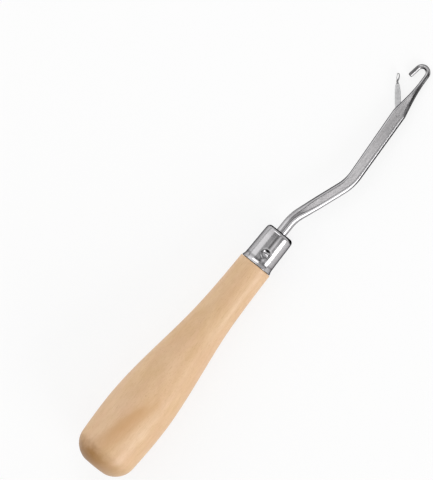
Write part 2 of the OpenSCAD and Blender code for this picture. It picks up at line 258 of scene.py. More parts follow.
class Sheet:
    """A node tree that is written one node at a time."""

    def __init__(self, tree: bpy.types.NodeTree) -> None:
        """Starts on an empty tree."""
        self.tree = tree
        tree.nodes.clear()

    def link(self, source: Socket, target: Socket) -> None:
        """Joins an output socket to an input socket."""
        self.tree.links.new(source, target)

    def node(self, kind: str, inputs: dict | None = None, **settings: object) -> bpy.types.Node:
        """Adds a node.

        Args:
            kind: the node's type.
            inputs: a constant, or another node's output, by the input's name or number.
            settings: the node's own settings by name.

        Returns:
            The node.
        """
        node = self.tree.nodes.new(kind)
        for name, value in settings.items():
            setattr(node, name, value)
        for name, value in (inputs or {}).items():
            if isinstance(value, Socket):
                self.link(value, node.inputs[name])
            else:
                node.inputs[name].default_value = value
        return node

    def value(self, kind: str, output: str | int, inputs: dict, **settings: object) -> Socket:
        """Adds a node and gives its output with that name or number."""
        return self.node(kind, inputs, **settings).outputs[output]

    def math(self, operation: str, a: object, b: object = 0.0) -> Socket:
        """The result of a two-value Math node."""
        return self.value("ShaderNodeMath", 0, {0: a, 1: b}, operation=operation)

    def times(self, a: object, b: object) -> Socket:
        """The product of two values."""
        return self.math("MULTIPLY", a, b)

    def plus(self, a: object, b: object) -> Socket:
        """The sum of two values."""
        return self.math("ADD", a, b)

    def length(self, vector: Socket) -> Socket:
        """The length of a vector."""
        return self.value("ShaderNodeVectorMath", "Value", {0: vector}, operation="LENGTH")

    def along(self, vector: Socket, direction: np.ndarray) -> Socket:
        """How far a vector reaches along a direction."""
        inputs = {0: vector, 1: tuple(direction)}
        return self.value("ShaderNodeVectorMath", "Value", inputs, operation="DOT_PRODUCT")

    def mix(self, factor: object, a: object, b: object) -> Socket:
        """The colour that lies between a and b."""
        return self.value("ShaderNodeMix", 2, {"Factor": factor, 6: a, 7: b}, data_type="RGBA")

    def rescale(self, value: object, low: float, high: float, start: float, end: float) -> Socket:
        """The value moved, and held, from low and high to start and end, with a gentle step between them."""
        inputs = {"Value": value, "From Min": low, "From Max": high, "To Min": start, "To Max": end}
        return self.value("ShaderNodeMapRange", "Result", inputs, interpolation_type="SMOOTHSTEP")

    def band(self, value: object, rise: tuple, fall: tuple) -> Socket:
        """A mask that rises from 0 to 1 over the first range of the value and falls over the second."""
        return self.times(self.rescale(value, *rise, 0.0, 1.0), self.rescale(value, *fall, 1.0, 0.0))

    def stretched(self, vector: object, scale: tuple, shift: tuple = (0.0, 0.0, 0.0)) -> Socket:
        """Coordinates scaled by a factor along each axis, then shifted."""
        inputs = {"Vector": vector, "Scale": scale, "Location": shift}
        return self.value("ShaderNodeMapping", "Vector", inputs)

    def noise(self, vector: object, scale: object, detail: float, rough: float) -> Socket:
        """The value of a noise with the given frequency."""
        inputs = {"Vector": vector, "Scale": scale, "Detail": detail, "Roughness": rough}
        return self.value("ShaderNodeTexNoise", "Fac", inputs)

    def marks(self, name: str) -> Socket:
        """The mesh's own attribute of that name."""
        return self.node("ShaderNodeAttribute", attribute_name=name).outputs["Fac"]

    def relief(self, height: object, strength: float, depth: float, shader: bpy.types.Node) -> None:
        """Bumps a shader's normal by a height, with the depth in metres."""
        inputs = {"Height": height, "Strength": strength, "Distance": depth}
        self.link(self.value("ShaderNodeBump", "Normal", inputs), shader.inputs["Normal"])


@dataclass(frozen=True)
class Noise:
    """A noise, and how it is stretched and shifted along the tool."""

    scale: float
    stretch: tuple = (1.0, 1.0, 1.0)
    detail: float = 3.0
    rough: float = 0.6
    shift: tuple = (0.0, 0.0, 0.0)
    edge: tuple = (0.0, 1.0)

    def value(self, sheet: Sheet, place: Socket) -> Socket:
        """Its value at each place."""
        place = sheet.stretched(place, self.stretch, self.shift)
        return sheet.noise(place, self.scale, self.detail, self.rough)

    def mask(self, sheet: Sheet, place: Socket, least: float, most: float) -> Socket:
        """A mask that goes from least to most as the noise crosses its edge."""
        return sheet.rescale(self.value(sheet, place), *self.edge, least, most)


def shared_group(
    name: str, inputs: dict, outputs: dict
) -> tuple[bpy.types.NodeTree, Sheet, bpy.types.Node, bpy.types.Node]:
    """Starts a shader node group with named sockets.

    Args:
        name: the group's name.
        inputs: socket type by input name.
        outputs: socket type by output name.

    Returns:
        The group, its sheet, and its input and output nodes.
    """
    group = bpy.data.node_groups.new(name, "ShaderNodeTree")
    for direction, sockets in (("INPUT", inputs), ("OUTPUT", outputs)):
        for socket, kind in sockets.items():
            group.interface.new_socket(name=socket, in_out=direction, socket_type=kind)
    sheet = Sheet(group)
    return group, sheet, sheet.node("NodeGroupInput"), sheet.node("NodeGroupOutput")


def brushed_group() -> bpy.types.NodeTree:
    """Fine scratches that all run along the x of their coordinates.

    Two noises, each drawn out along x, give the fine scratches and the wider
    bands between them.

    Returns:
        The group, with the scratches' spacing in millimetres as an input.
    """
    group, sheet, given, made = shared_group(
        "brushed_scratches",
        {"Vector": "NodeSocketVector", "Spacing": "NodeSocketFloat"},
        {"Scratches": "NodeSocketFloat", "Bands": "NodeSocketFloat"},
    )
    finest = sheet.math("DIVIDE", 1.0, given.outputs["Spacing"])
    for name, drawn_out, coarser in (("Scratches", 0.04, 1.0), ("Bands", 0.015, 0.22)):
        place = sheet.stretched(given.outputs["Vector"], (drawn_out, 1.0, 1.0))
        scratches = sheet.noise(place, sheet.times(finest, coarser), detail=3.0, rough=0.6)
        sheet.link(scratches, made.inputs[name])
    return group


def handling_group() -> bpy.types.NodeTree:
    """Faint smears and specks that handling leaves on a smooth finish.

    Returns:
        The group, whose two outputs go from 0 to 1.
    """
    group, sheet, given, made = shared_group(
        "handling_marks",
        {"Vector": "NodeSocketVector"},
        {"Smears": "NodeSocketFloat", "Specks": "NodeSocketFloat"},
    )
    smears = Noise(0.35, rough=0.55, edge=(0.35, 0.75))
    specks = Noise(5.5, detail=1.0, rough=0.5, edge=(0.66, 0.78))
    for name, noise in (("Smears", smears), ("Specks", specks)):
        sheet.link(noise.mask(sheet, given.outputs["Vector"], 0.0, 1.0), made.inputs[name])
    return group


@dataclass(frozen=True)
class Groups:
    """The node groups that more than one finish uses."""

    brushed: bpy.types.NodeTree
    handling: bpy.types.NodeTree

    def handled(self, sheet: Sheet, place: Socket) -> object:
        """The outputs of the handling marks, placed in a material."""
        return sheet.node("ShaderNodeGroup", {"Vector": place}, node_tree=self.handling).outputs

    def scratched(self, sheet: Sheet, place: Socket, spacing: float) -> object:
        """The outputs of the brushed scratches, placed in a material with their spacing."""
        inputs = {"Vector": place, "Spacing": spacing}
        return sheet.node("ShaderNodeGroup", inputs, node_tree=self.brushed).outputs


def new_finish(name: str) -> tuple[Material, Sheet, bpy.types.Node]:
    """A new material with only a Principled BSDF and an output.

    Args:
        name: the material's name.

    Returns:
        The material, its sheet and the shader node.
    """
    material = bpy.data.materials.new(name)
    material.use_nodes = True
    sheet = Sheet(material.node_tree)
    shader = sheet.node("ShaderNodeBsdfPrincipled")
    sheet.node("ShaderNodeOutputMaterial", {"Surface": shader.outputs["BSDF"]})
    return material, sheet, shader


@dataclass(frozen=True)
class LacqueredWood:
    """Pale close-grained wood under a thin satin lacquer."""

    pale: tuple = (0.76, 0.52, 0.31, 1.0)
    rosy: tuple = (0.73, 0.46, 0.29, 1.0)
    honey: tuple = (0.65, 0.41, 0.20, 1.0)
    brown: tuple = (0.44, 0.225, 0.085, 1.0)
    amber: tuple = (0.60, 0.335, 0.145, 1.0)
    # colour of the butt's end grain, which also carries painted shade there
    end_grain_and_shade_brown: tuple = (0.34, 0.15, 0.025, 1.0)
    honey_share: float = 0.75
    rosy_share: float = 0.50
    ring_share: float = 0.07
    fibre_share: float = 0.30
    pore_share: float = 0.42
    amber_share: float = 0.80
    end_share: float = 0.95
    clouds: Noise = Noise(0.13, (0.5, 1.0, 1.0), 5.0, edge=(0.3, 0.7))
    tints: Noise = Noise(0.17, (0.4, 1.0, 1.0), 5.0, shift=(31.0, 7.0, 3.0), edge=(0.35, 0.65))
    fibres: Noise = Noise(4.2, (0.07, 1.0, 1.0), rough=0.65, edge=(0.45, 0.8))
    pores: Noise = Noise(6.5, (0.16, 1.0, 1.0), 1.0, 0.4, (5.0, 2.0, 9.0), (0.66, 0.76))
    pith: tuple = (-19.0, -31.0)
    ring_warp: Noise = Noise(0.09, (0.35, 1.0, 1.0), 2.0, 0.5)
    ring_bend: float = 7.0
    ring_width: float = 2.1
    ring_rise: tuple = (0.1, 0.82)
    ring_fall: tuple = (0.86, 1.0)
    streak_middle: tuple = (16.5, -0.6)
    streak_turn: float = -13.0
    streak_height: float = 9.5
    streak_reach: tuple = (15.0, 3.8, 4.0)
    streak_frays: Noise = Noise(0.45, (0.25, 1.0, 1.0))
    streak_fray: float = 0.9
    streak_edge: tuple = (0.55, 1.65)
    end_frays: Noise = Noise(0.5)
    end_fray: float = 4.0
    end_reach: tuple = (1.5, 8.0)
    # the painted shade at the butt is strongest on the latch side and least on the other
    shaded_side: tuple = (-9.0, 6.0)
    lit_side_least: float = 0.35
    roughness: float = 0.40
    smear_roughness: float = 0.10
    fibre_roughness: float = 0.06
    relief: tuple = (0.35, 0.00002)
    pore_depth: float = 0.8
    coat: float = 0.22
    coat_roughness: float = 0.28

    def rings(self, sheet: Sheet, place: Socket) -> Socket:
        """Growth rings: the distance from the pith, bent by a slow noise, in steps of a ring.

        Args:
            sheet: the material's sheet.
            place: coordinates in the tool's frame.

        Returns:
            A value that climbs through each ring and falls at its end.
        """
        around = sheet.stretched(place, (0.0, 1.0, 1.0), (0.0, -self.pith[0], -self.pith[1]))
        bend = sheet.times(self.ring_warp.value(sheet, place), self.ring_bend)
        bent = sheet.plus(sheet.length(around), bend)
        phase = sheet.math("FRACT", sheet.math("DIVIDE", bent, self.ring_width))
        return sheet.band(phase, self.ring_rise, self.ring_fall)

    def streak(self, sheet: Sheet, place: Socket) -> Socket:
        """A browner streak of the grain, which fades over the edge of an ellipsoid.

        Args:
            sheet: the material's sheet.
            place: coordinates turned along the streak, about its middle.

        Returns:
            A mask from 0 to 1.
        """
        reach = tuple(1 / r for r in self.streak_reach)
        moved = sheet.stretched(place, reach, (0.0, 0.0, -self.streak_height * reach[2]))
        fray = sheet.times(self.streak_frays.value(sheet, place), self.streak_fray)
        return sheet.rescale(sheet.plus(sheet.length(moved), fray), *self.streak_edge, 1.0, 0.0)

    def end_grain_and_shade(self, sheet: Sheet, place: Socket) -> Socket:
        """The butt's browner end grain, with painted shade over it where the butt turns from the light,
        stronger on the latch side, which faces away from the key softbox.

        Args:
            sheet: the material's sheet.
            place: coordinates in the tool's frame.

        Returns:
            A mask from 0 to the end's share.
        """
        split = sheet.node("ShaderNodeSeparateXYZ", {0: place}).outputs
        fray = sheet.times(sheet.math("SUBTRACT", self.end_frays.value(sheet, place), 0.5), self.end_fray)
        end = sheet.rescale(sheet.plus(split["X"], fray), *self.end_reach, 1.0, 0.0)
        side = sheet.rescale(split["Y"], *self.shaded_side, self.lit_side_least, 1.0)
        return sheet.times(end, sheet.times(side, self.end_share))

    def build(self, tool: ToolFrame, groups: Groups) -> Material:
        """Makes the material, whose colours are laid over each other one by one.

        Args:
            tool: the frame that the pattern follows.
            groups: the shared node groups.

        Returns:
            The finished material.
        """
        material, sheet, shader = new_finish("lacquered_wood")
        place = tool.pattern(sheet)
        streak_place = tool.pattern(sheet, self.streak_turn, self.streak_middle)
        fibres = self.fibres.value(sheet, place)
        pores = self.pores.mask(sheet, place, 0.0, 1.0)
        base = self.pale
        for mask, colour in (
            (self.clouds.mask(sheet, place, 0.0, self.honey_share), self.honey),
            (self.tints.mask(sheet, place, 0.0, self.rosy_share), self.rosy),
            (sheet.times(self.rings(sheet, place), self.ring_share), self.brown),
            (sheet.rescale(fibres, *self.fibres.edge, 0.0, self.fibre_share), self.brown),
            (sheet.times(pores, self.pore_share), self.brown),
            (sheet.times(self.streak(sheet, streak_place), self.amber_share), self.amber),
            (self.end_grain_and_shade(sheet, place), self.end_grain_and_shade_brown),
        ):
            base = sheet.mix(mask, base, colour)
        sheet.link(base, shader.inputs["Base Color"])
        smears = sheet.times(groups.handled(sheet, place)["Smears"], self.smear_roughness)
        rough = sheet.plus(sheet.plus(smears, self.roughness), sheet.times(fibres, self.fibre_roughness))
        sheet.link(rough, shader.inputs["Roughness"])
        sheet.relief(sheet.plus(fibres, sheet.times(pores, -self.pore_depth)), *self.relief, shader)
        shader.inputs["Coat Weight"].default_value = self.coat
        shader.inputs["Coat Roughness"].default_value = self.coat_roughness
        return material


def set_metal(shader: bpy.types.Node, edge_tint: tuple) -> None:
    """Makes a shader bare metal, with the tint that it mirrors at its edges."""
    shader.inputs["Metallic"].default_value = 1.0
    shader.inputs["Specular Tint"].default_value = edge_tint


@dataclass(frozen=True)
class PlatedNickel:
    """Bright nickel plate on a pressed steel cap."""

    colour: tuple = (0.54, 0.53, 0.54, 1.0)
    worn_colour: tuple = (0.42, 0.41, 0.42, 1.0)
    # dark colour for painted shade; the ground steel also uses it for its random mottle
    shade_and_mottle_colour: tuple = (0.06, 0.06, 0.06, 1.0)
    edge_tint: tuple = (0.03, 0.03, 0.04, 1.0)
    roughness: float = 0.17
    smear_wear: float = 0.35
    speck_wear: float = 0.6
    wear_roughness: float = 0.10
    waves: Noise = Noise(0.9, (1.0, 0.25, 0.25), 2.0, 0.5)
    relief: tuple = (0.25, 0.00003)

    def build(self, tool: ToolFrame, groups: Groups) -> Material:
        """Makes the material, which paints its dark colour in as painted shade where the mesh's own attribute
        of painted shade says.

        Args:
            tool: the frame that the pattern follows.
            groups: the shared node groups.

        Returns:
            The finished material.
        """
        material, sheet, shader = new_finish("plated_nickel")
        place = tool.pattern(sheet)
        marks = groups.handled(sheet, place)
        smears = sheet.times(marks["Smears"], self.smear_wear)
        worn = sheet.plus(smears, sheet.times(marks["Specks"], self.speck_wear))
        plate = sheet.mix(worn, self.colour, self.worn_colour)
        # painted shade: the dark colour mixed into the plate by the mesh's attribute of painted shade
        sheet.link(sheet.mix(sheet.marks("painted_shade"), plate, self.shade_and_mottle_colour), shader.inputs["Base Color"])
        rough = sheet.plus(sheet.times(worn, self.wear_roughness), self.roughness)
        sheet.link(rough, shader.inputs["Roughness"])
        sheet.relief(self.waves.value(sheet, place), *self.relief, shader)
        set_metal(shader, self.edge_tint)
        return material


@dataclass(frozen=True)
class GroundSteel:
    """Plated steel whose pressed flats are ground matt and whose rounds stay bright."""

    name: str
    colour: tuple
    matt_colour: tuple
    shade_and_mottle_colour: tuple
    matt_roughness: float
    bright_roughness: float
    spacing: float
    turn: float = 0.0
    about: tuple = (0.0, 0.0)
    edge_tint: tuple = (0.10, 0.10, 0.11, 1.0)
    band_edge: tuple = (0.3, 0.7)
    band_share: float = 0.45
    mottle: Noise = Noise(1.6, edge=(0.3, 0.75))
    mottle_share: float = 0.24
    patches: Noise = Noise(2.2, edge=(0.25, 0.7))
    patch_least: float = 0.75
    smear_roughness: float = 0.06
    round_relief: float = 0.15
    relief: tuple = (0.5, 0.00002)

    def build(self, tool: ToolFrame, groups: Groups) -> Material:
        """Makes the material, which reads the mesh's own attribute "flat" and its attribute of painted shade,
        by which the dark colour is painted in.

        Args:
            tool: the frame that the pattern follows.
            groups: the shared node groups.

        Returns:
            The finished material.
        """
        material, sheet, shader = new_finish(self.name)
        place = tool.pattern(sheet, self.turn, self.about)
        brushed = groups.scratched(sheet, place, self.spacing)
        flat = sheet.marks("flat")
        bands = sheet.rescale(brushed["Bands"], *self.band_edge, 0.0, self.band_share)
        ground = sheet.mix(bands, self.matt_colour, self.colour)
        # random mottle of the ground flats, towards the dark colour
        ground = sheet.mix(self.mottle.mask(sheet, place, 0.0, self.mottle_share), ground, self.shade_and_mottle_colour)
        base = sheet.mix(flat, self.colour, ground)
        # painted shade, broken into patches, mixes the dark colour in
        painted_shade = sheet.times(sheet.marks("painted_shade"), self.patches.mask(sheet, place, self.patch_least, 1.0))
        sheet.link(sheet.mix(painted_shade, base, self.shade_and_mottle_colour), shader.inputs["Base Color"])
        rough = sheet.rescale(flat, 0.0, 1.0, self.bright_roughness, self.matt_roughness)
        smears = sheet.times(groups.handled(sheet, place)["Smears"], self.smear_roughness)
        sheet.link(sheet.plus(rough, smears), shader.inputs["Roughness"])
        height = sheet.times(brushed["Scratches"], sheet.rescale(flat, 0.0, 1.0, self.round_relief, 1.0))
        sheet.relief(height, *self.relief, shader)
        set_metal(shader, self.edge_tint)
        return material


def shade(mesh: bpy.types.Mesh) -> None:
    """Shades a mesh smooth up to the angle that counts as a sharp edge."""
    mesh.polygons.foreach_set("use_smooth", np.ones(len(mesh.polygons), bool))
    mesh.set_sharp_from_angle(angle=math.radians(SHARP_ANGLE))


def add_mesh(name: str, points: np.ndarray, faces: list) -> Piece:
    """Adds an object with a new mesh to the scene.

    Args:
        name: the object's name, and the mesh's.
        points: its points, one a row.
        faces: the point numbers of each face.

    Returns:
        The object.
    """
    mesh = bpy.data.meshes.new(name)
    mesh.from_pydata(points.tolist(), [], faces)
    piece = bpy.data.objects.new(name, mesh)
    bpy.context.scene.collection.objects.link(piece)
    return piece


def make_piece(name: str, points: np.ndarray, faces: np.ndarray, looks: dict | None = None) -> Piece:
    """Puts points and faces into a smooth mesh whose faces point outwards.

    Args:
        name: the piece's name.
        points: its points in the row frame, in metres.
        faces: four point numbers a row; a triangle repeats its last one.
        looks: values from 0 to 1 at each point, by attribute name: "flat" on
            a ground flat, and painted shade where the metal is painted dark.

    Returns:
        The new object, linked to the scene.
    """
    corners = points[faces]
    twice = np.cross(corners[:, 2] - corners[:, 0], corners[:, 3] - corners[:, 1])
    if np.einsum("ij,ij->", twice, corners.mean(1) - points.mean(0)) < 0:
        faces = faces[:, ::-1]
    piece = add_mesh(name, points, [list(dict.fromkeys(row)) for row in faces.tolist()])
    for look, values in (looks or {}).items():
        marks = piece.data.attributes.new(look, "FLOAT", "POINT")
        marks.data.foreach_set("value", values.astype(np.float32))
    shade(piece.data)
    piece.data.update()
    return piece


def tube_faces(rows: int, around: int, ring: bool) -> np.ndarray:
    """Faces over a stack of closed rings that all have the same number of points.

    Point j of ring i has the number i times the points round, plus j.

    Args:
        rows: how many rings there are.
        around: how many points each has.
        ring: whether the last ring joins the first. If not, the middles of the
            first and of the last ring, which follow the rings, close the ends.

    Returns:
        Four point numbers a row.
    """
    i = np.arange(rows if ring else rows - 1)[:, None]
    j = np.arange(around)
    following, beside = (i + 1) % rows, (j + 1) % around
    quads = np.stack(
        [i * around + j, following * around + j, following * around + beside, i * around + beside], -1
    ).reshape(-1, 4)
    if ring:
        return quads
    first, last = rows * around, rows * around + 1
    top = (rows - 1) * around
    start = np.column_stack([np.full(around, first), j, beside, beside])
    end = np.column_stack([np.full(around, last), top + beside, top + j, top + j])
    return np.concatenate([quads, start, end])


def close_ends(rings: np.ndarray) -> np.ndarray:
    """The points of a stack of rings, with the middle of the first and of the last ring added."""
    return np.concatenate([rings.reshape(-1, 3), rings[:1].mean(1), rings[-1:].mean(1)])


def with_ends(values: np.ndarray, first: float, last: float) -> np.ndarray:
    """Values at the points of a stack of rings, with those of its two end points added."""
    return np.append(np.asarray(values, float).ravel(), [first, last])


def capped_piece(name: str, tool: ToolFrame, rings: np.ndarray, looks: dict | None = None) -> Piece:
    """A piece whose skin runs over a stack of rings and closes at both ends.

    Args:
        name: the piece's name.
        tool: the tool's frame.
        rings: rows by points round by three, in the tool's frame.
        looks: values at each point, by attribute name.

    Returns:
        The new object.
    """
    rows, around = rings.shape[:2]
    return make_piece(name, tool.to_row(close_ends(rings)), tube_faces(rows, around, ring=False), looks)


def angles_round(around: int) -> np.ndarray:
    """The angles of that many points round a full turn, in radians."""
    return 2 * math.pi * np.arange(around) / around


def turned(outline: np.ndarray, around: int, axis: Axis, push: np.ndarray | float = 0.0) -> np.ndarray:
    """A profile of (place, radius) points turned about an axis.

    Each point lies off the axis by its radius times the sine and the cosine
    of its angle.

    Args:
        outline: the profile, one point a row.
        around: how many points a full turn has.
        axis: the axis that the profile is turned about.
        push: what each point's radius gains, as rows by points round.

    Returns:
        Points as rows by points round by three.
    """
    turn = angles_round(around)
    place = np.repeat(outline[:, :1], around, 1)
    radius = outline[:, 1:2] + np.zeros(around) + push
    if axis is Axis.LENGTH:
        return np.stack([place, radius * np.sin(turn), radius * np.cos(turn)], -1)
    return np.stack([radius * np.sin(turn), radius * np.cos(turn), place], -1)


def bore(tool: ToolFrame, pivot: np.ndarray, radius: float, reach: float) -> Piece:
    """The round solid that a hole across the cheeks removes.

    Args:
        tool: the tool's frame.
        pivot: the x and y of the hole's middle.
        radius: the hole's radius.
        reach: how far the solid goes up and down.

    Returns:
        The solid.
    """
    rings = turned(np.array([(-reach, radius), (reach, radius)]), 64, Axis.HEIGHT)
    return capped_piece("bore", tool, rings + [*pivot, 0])


def unit(vector: np.ndarray) -> np.ndarray:
    """The vector scaled to a length of 1."""
    return vector / np.linalg.norm(vector)


def along(angle: float) -> np.ndarray:
    """The unit vector at an angle in degrees."""
    return np.stack([np.cos(np.radians(angle)), np.sin(np.radians(angle))], -1)


def left(angle: float) -> np.ndarray:
    """The unit vector to the left of an angle in degrees."""
    return np.stack([-np.sin(np.radians(angle)), np.cos(np.radians(angle))], -1)


def rounded_rings(w: np.ndarray, h: np.ndarray, upper: np.ndarray, lower: np.ndarray, around: int) -> tuple:
    """Rounded rectangles, one for each station, each walked in the same number of steps.

    The walk starts in the middle of the side at +w and adds up nine pieces:
    straight, arc, flat, arc, straight, arc, flat, arc, straight. Half of the
    steps go by length and half by turning, so that small arcs get their share.

    Args:
        w: half width across at each station.
        h: half height at each station.
        upper: rounding of the two edges at +w.
        lower: rounding of the two edges at -w.
        around: how many points each has.

    Returns:
        Three arrays of stations by points: across, up, and 1 on the two flats.
    """
    quarter = math.pi / 2
    side_u, side_l, flat = h - upper, 2 * (h - lower), 2 * w - upper - lower
    arc_u, arc_l = quarter * upper, quarter * lower
    length = np.stack([side_u, arc_u, flat, arc_l, side_l, arc_l, flat, arc_u, side_u], -1)
    turning = np.array([0, 1, 0, 1, 0, 1, 0, 1, 0]) / 4
    measure = 0.5 * length / length.sum(-1, keepdims=True) + 0.5 * turning
    begin = np.concatenate([np.zeros((len(w), 1)), np.cumsum(measure, -1)[:, :-1]], -1)
    step = ((np.arange(around) + 0.5) / around)[None, :, None]
    part = np.clip((step - begin[:, None, :]) / np.maximum(measure, 1e-9)[:, None, :], 0.0, 1.0)
    sine, fall = np.sin(quarter * part), 1 - np.cos(quarter * part)
    w, upper, lower, flat, side_u, side_l = (a[:, None] for a in (w, upper, lower, flat, side_u, side_l))
    across = w - upper * fall[..., 1] - flat * part[..., 2] - lower * sine[..., 3]
    across = across + lower * fall[..., 5] + flat * part[..., 6] + upper * sine[..., 7]
    up = side_u * part[..., 0] + upper * sine[..., 1] - lower * fall[..., 3] - side_l * part[..., 4]
    up = up - lower * sine[..., 5] + upper * fall[..., 7] + side_u * part[..., 8]
    on_flat = ((part[..., 2] > 0) & (part[..., 2] < 1)) | ((part[..., 6] > 0) & (part[..., 6] < 1))
    return across, up, on_flat.astype(float)


def change(piece: Piece, other: Piece, cut: Cut) -> None:
    """Cuts another solid away from a piece, or joins it on, and removes the other one.

    Args:
        piece: the piece, which gets a new mesh.
        other: the other solid.
        cut: how it changes the piece.
    """
    tool = piece.modifiers.new("change", "BOOLEAN")
    tool.operation = cut.value
    tool.solver = "EXACT"
    tool.object = other
    bpy.context.view_layer.update()
    made = bpy.data.meshes.new_from_object(piece.evaluated_get(bpy.context.evaluated_depsgraph_get()))
    old = piece.data
    piece.modifiers.clear()
    piece.data = made
    made.name = old.name
    bpy.data.meshes.remove(old)
    bpy.data.objects.remove(other)
    shade(made)


def dress(piece: Piece, material: Material, body: str, node: str) -> None:
    """Gives a piece its finish and says what it stands for.

    Args:
        piece: the piece.
        material: its finish.
        body: the body that it moves with.
        node: the CAD node that it replaces.
    """
    piece.data.materials.clear()
    piece.data.materials.append(material)
    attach(piece, body)
    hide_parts(node)
    LOG.info("%s: %d points, finish %s, on %s", piece.name, len(piece.data.vertices), material.name, body)


@dataclass(frozen=True)
class Dimple:
    """The round dent that is punched through the ferrule into the wood."""

    x: float
    radius: float = 5.1
    turn: float = 10.0
    mouth: float = 1.1
    depth: float = 0.52
    dish_reach: float = 2.2
    dish_depth: float = 0.12
    steeper: float = 1.3
    gentler: float = 0.9

    def places(self, x: np.ndarray, angle: np.ndarray) -> tuple[np.ndarray, np.ndarray]:
        """Where each point lies from the dent's middle.

        Distances towards the hook count for more, so that the dent is steeper there.

        Args:
            x: place along the tool.
            angle: angle round it from +z towards +y, in radians.

        Returns:
            The angle from the dent's, in radians, and the distance.
        """
        away = (angle + math.radians(self.turn) + math.pi) % (2 * math.pi) - math.pi
        ahead = (x - self.x) * np.where(x > self.x, self.steeper, self.gentler)
        return away, np.hypot(ahead, away * self.radius)

    def push(self, x: np.ndarray, angle: np.ndarray) -> np.ndarray:
        """How far the dent moves each point of a round piece inwards, as a negative gain in radius.

        A bowl, the depth times a bell of the cube of the distance over the
        mouth's radius, lies in a wider shallow dish, which falls off with the
        square of a parabola.

        Args:
            x: place along the tool.
            angle: angle round it from +z towards +y, in radians.

        Returns:
            The gain in radius at each point.
        """
        _, distance = self.places(x, angle)
        bowl = self.depth * np.exp(-((distance / self.mouth) ** 3))
        dish = self.dish_depth * np.clip(1 - (distance / self.dish_reach) ** 2, 0, None) ** 2
        return -(bowl + dish)


@dataclass
class Handle:
    """The turned wooden handle, from the butt to the end of its tenon in the ferrule."""

    tool: ToolFrame
    dimple: Dimple
    length: float
    tenon_end: float
    bulge_r: float
    butt_x: float = 0.01
    butt_flat_r: float = 3.5
    heel: tuple = (6.9, 10.1)
    heel_slope: float = 0.055
    bulge_x: float = 19.6
    knee: tuple = (53.5, 7.15)
    knee_slope: float = 0.12
    neck_r: float = 5.7
    neck_slope: float = 0.023
    neck_round: float = 0.25
    rise_share: float = 0.33
    reach_share: float = 0.67
    tenon_r: float = 4.6
    tenon_tip_r: float = 4.37
    tenon_chamfer: float = 0.65
    bore_r: float = 1.65
    bore_l: float = 34.1
    around: int = 160
    unevenness: float = 0.045
    fade_l: float = 8.0
    neck_fade_l: float = 6.0

    def outline(self) -> np.ndarray:
        """The closed profile: butt, heel, bulge, knee, neck, tenon and bore.

        Returns:
            Points as (x, radius), one a row.
        """
        rise = self.rise_share * (self.heel[1] - self.butt_flat_r)
        reach = self.reach_share * self.heel[0]
        heel = np.array(self.heel)
        before_heel = heel - reach * np.array([1, self.heel_slope])
        flat = np.array([(self.butt_x, self.butt_flat_r), (self.butt_x, self.butt_flat_r + rise)])
        butt = cubic(np.array([*flat, before_heel, heel]), 44)
        bulge = (self.bulge_x, self.bulge_r)
        neck = (self.length - self.neck_round, self.neck_r)
        tenon_tip_x, tenon_end_r = self.tenon_end - self.tenon_chamfer, self.tenon_tip_r - self.tenon_chamfer
        return np.concatenate(
            [
                line((self.butt_x, 0), (self.butt_x, self.butt_flat_r), 7)[:-1],
                butt,
                span(self.heel, self.heel_slope, bulge, 0, 30),
                span(bulge, 0, self.knee, -self.knee_slope, 90),
                span(self.knee, -self.knee_slope, neck, -self.neck_slope, 70),
                arc((neck[0], self.neck_r - self.neck_round), self.neck_round, 90, 0, 5)[1:],
                line((self.length, self.neck_r - self.neck_round), (self.length, self.tenon_r), 2),
                line((self.length, self.tenon_r), (tenon_tip_x, self.tenon_tip_r), 60),
                line((tenon_tip_x, self.tenon_tip_r), (self.tenon_end, tenon_end_r), 2),
                line((self.tenon_end, tenon_end_r), (self.tenon_end, self.bore_r), 3),
                line((self.tenon_end, self.bore_r), (self.tenon_end - self.bore_l, self.bore_r), 10),
            ]
        )

    def build(self, finish: Material) -> Piece:
        """Turns the profile, evens it out slightly as hand sanding does, and presses the dimple in.

        Args:
            finish: the wood.

        Returns:
            The finished piece.
        """
        outline = self.outline()
        x = outline[:, :1]
        angle = angles_round(self.around)
        neck_fade = share(x, self.length, self.length - self.neck_fade_l)
        sanded = self.unevenness * share(x, 0, self.fade_l) * neck_fade
        push = -sanded * (0.5 + 0.5 * ripple(x, angle, seed=7))
        on_tenon = (x > self.length) & (outline[:, 1:2] > (self.bore_r + self.tenon_tip_r) / 2)
        push = push + np.where(on_tenon, self.dimple.push(x, angle), 0.0)
        piece = capped_piece("handle_wood", self.tool, turned(outline, self.around, Axis.LENGTH, push))
        dress(piece, finish, "body", "handle")
        return piece


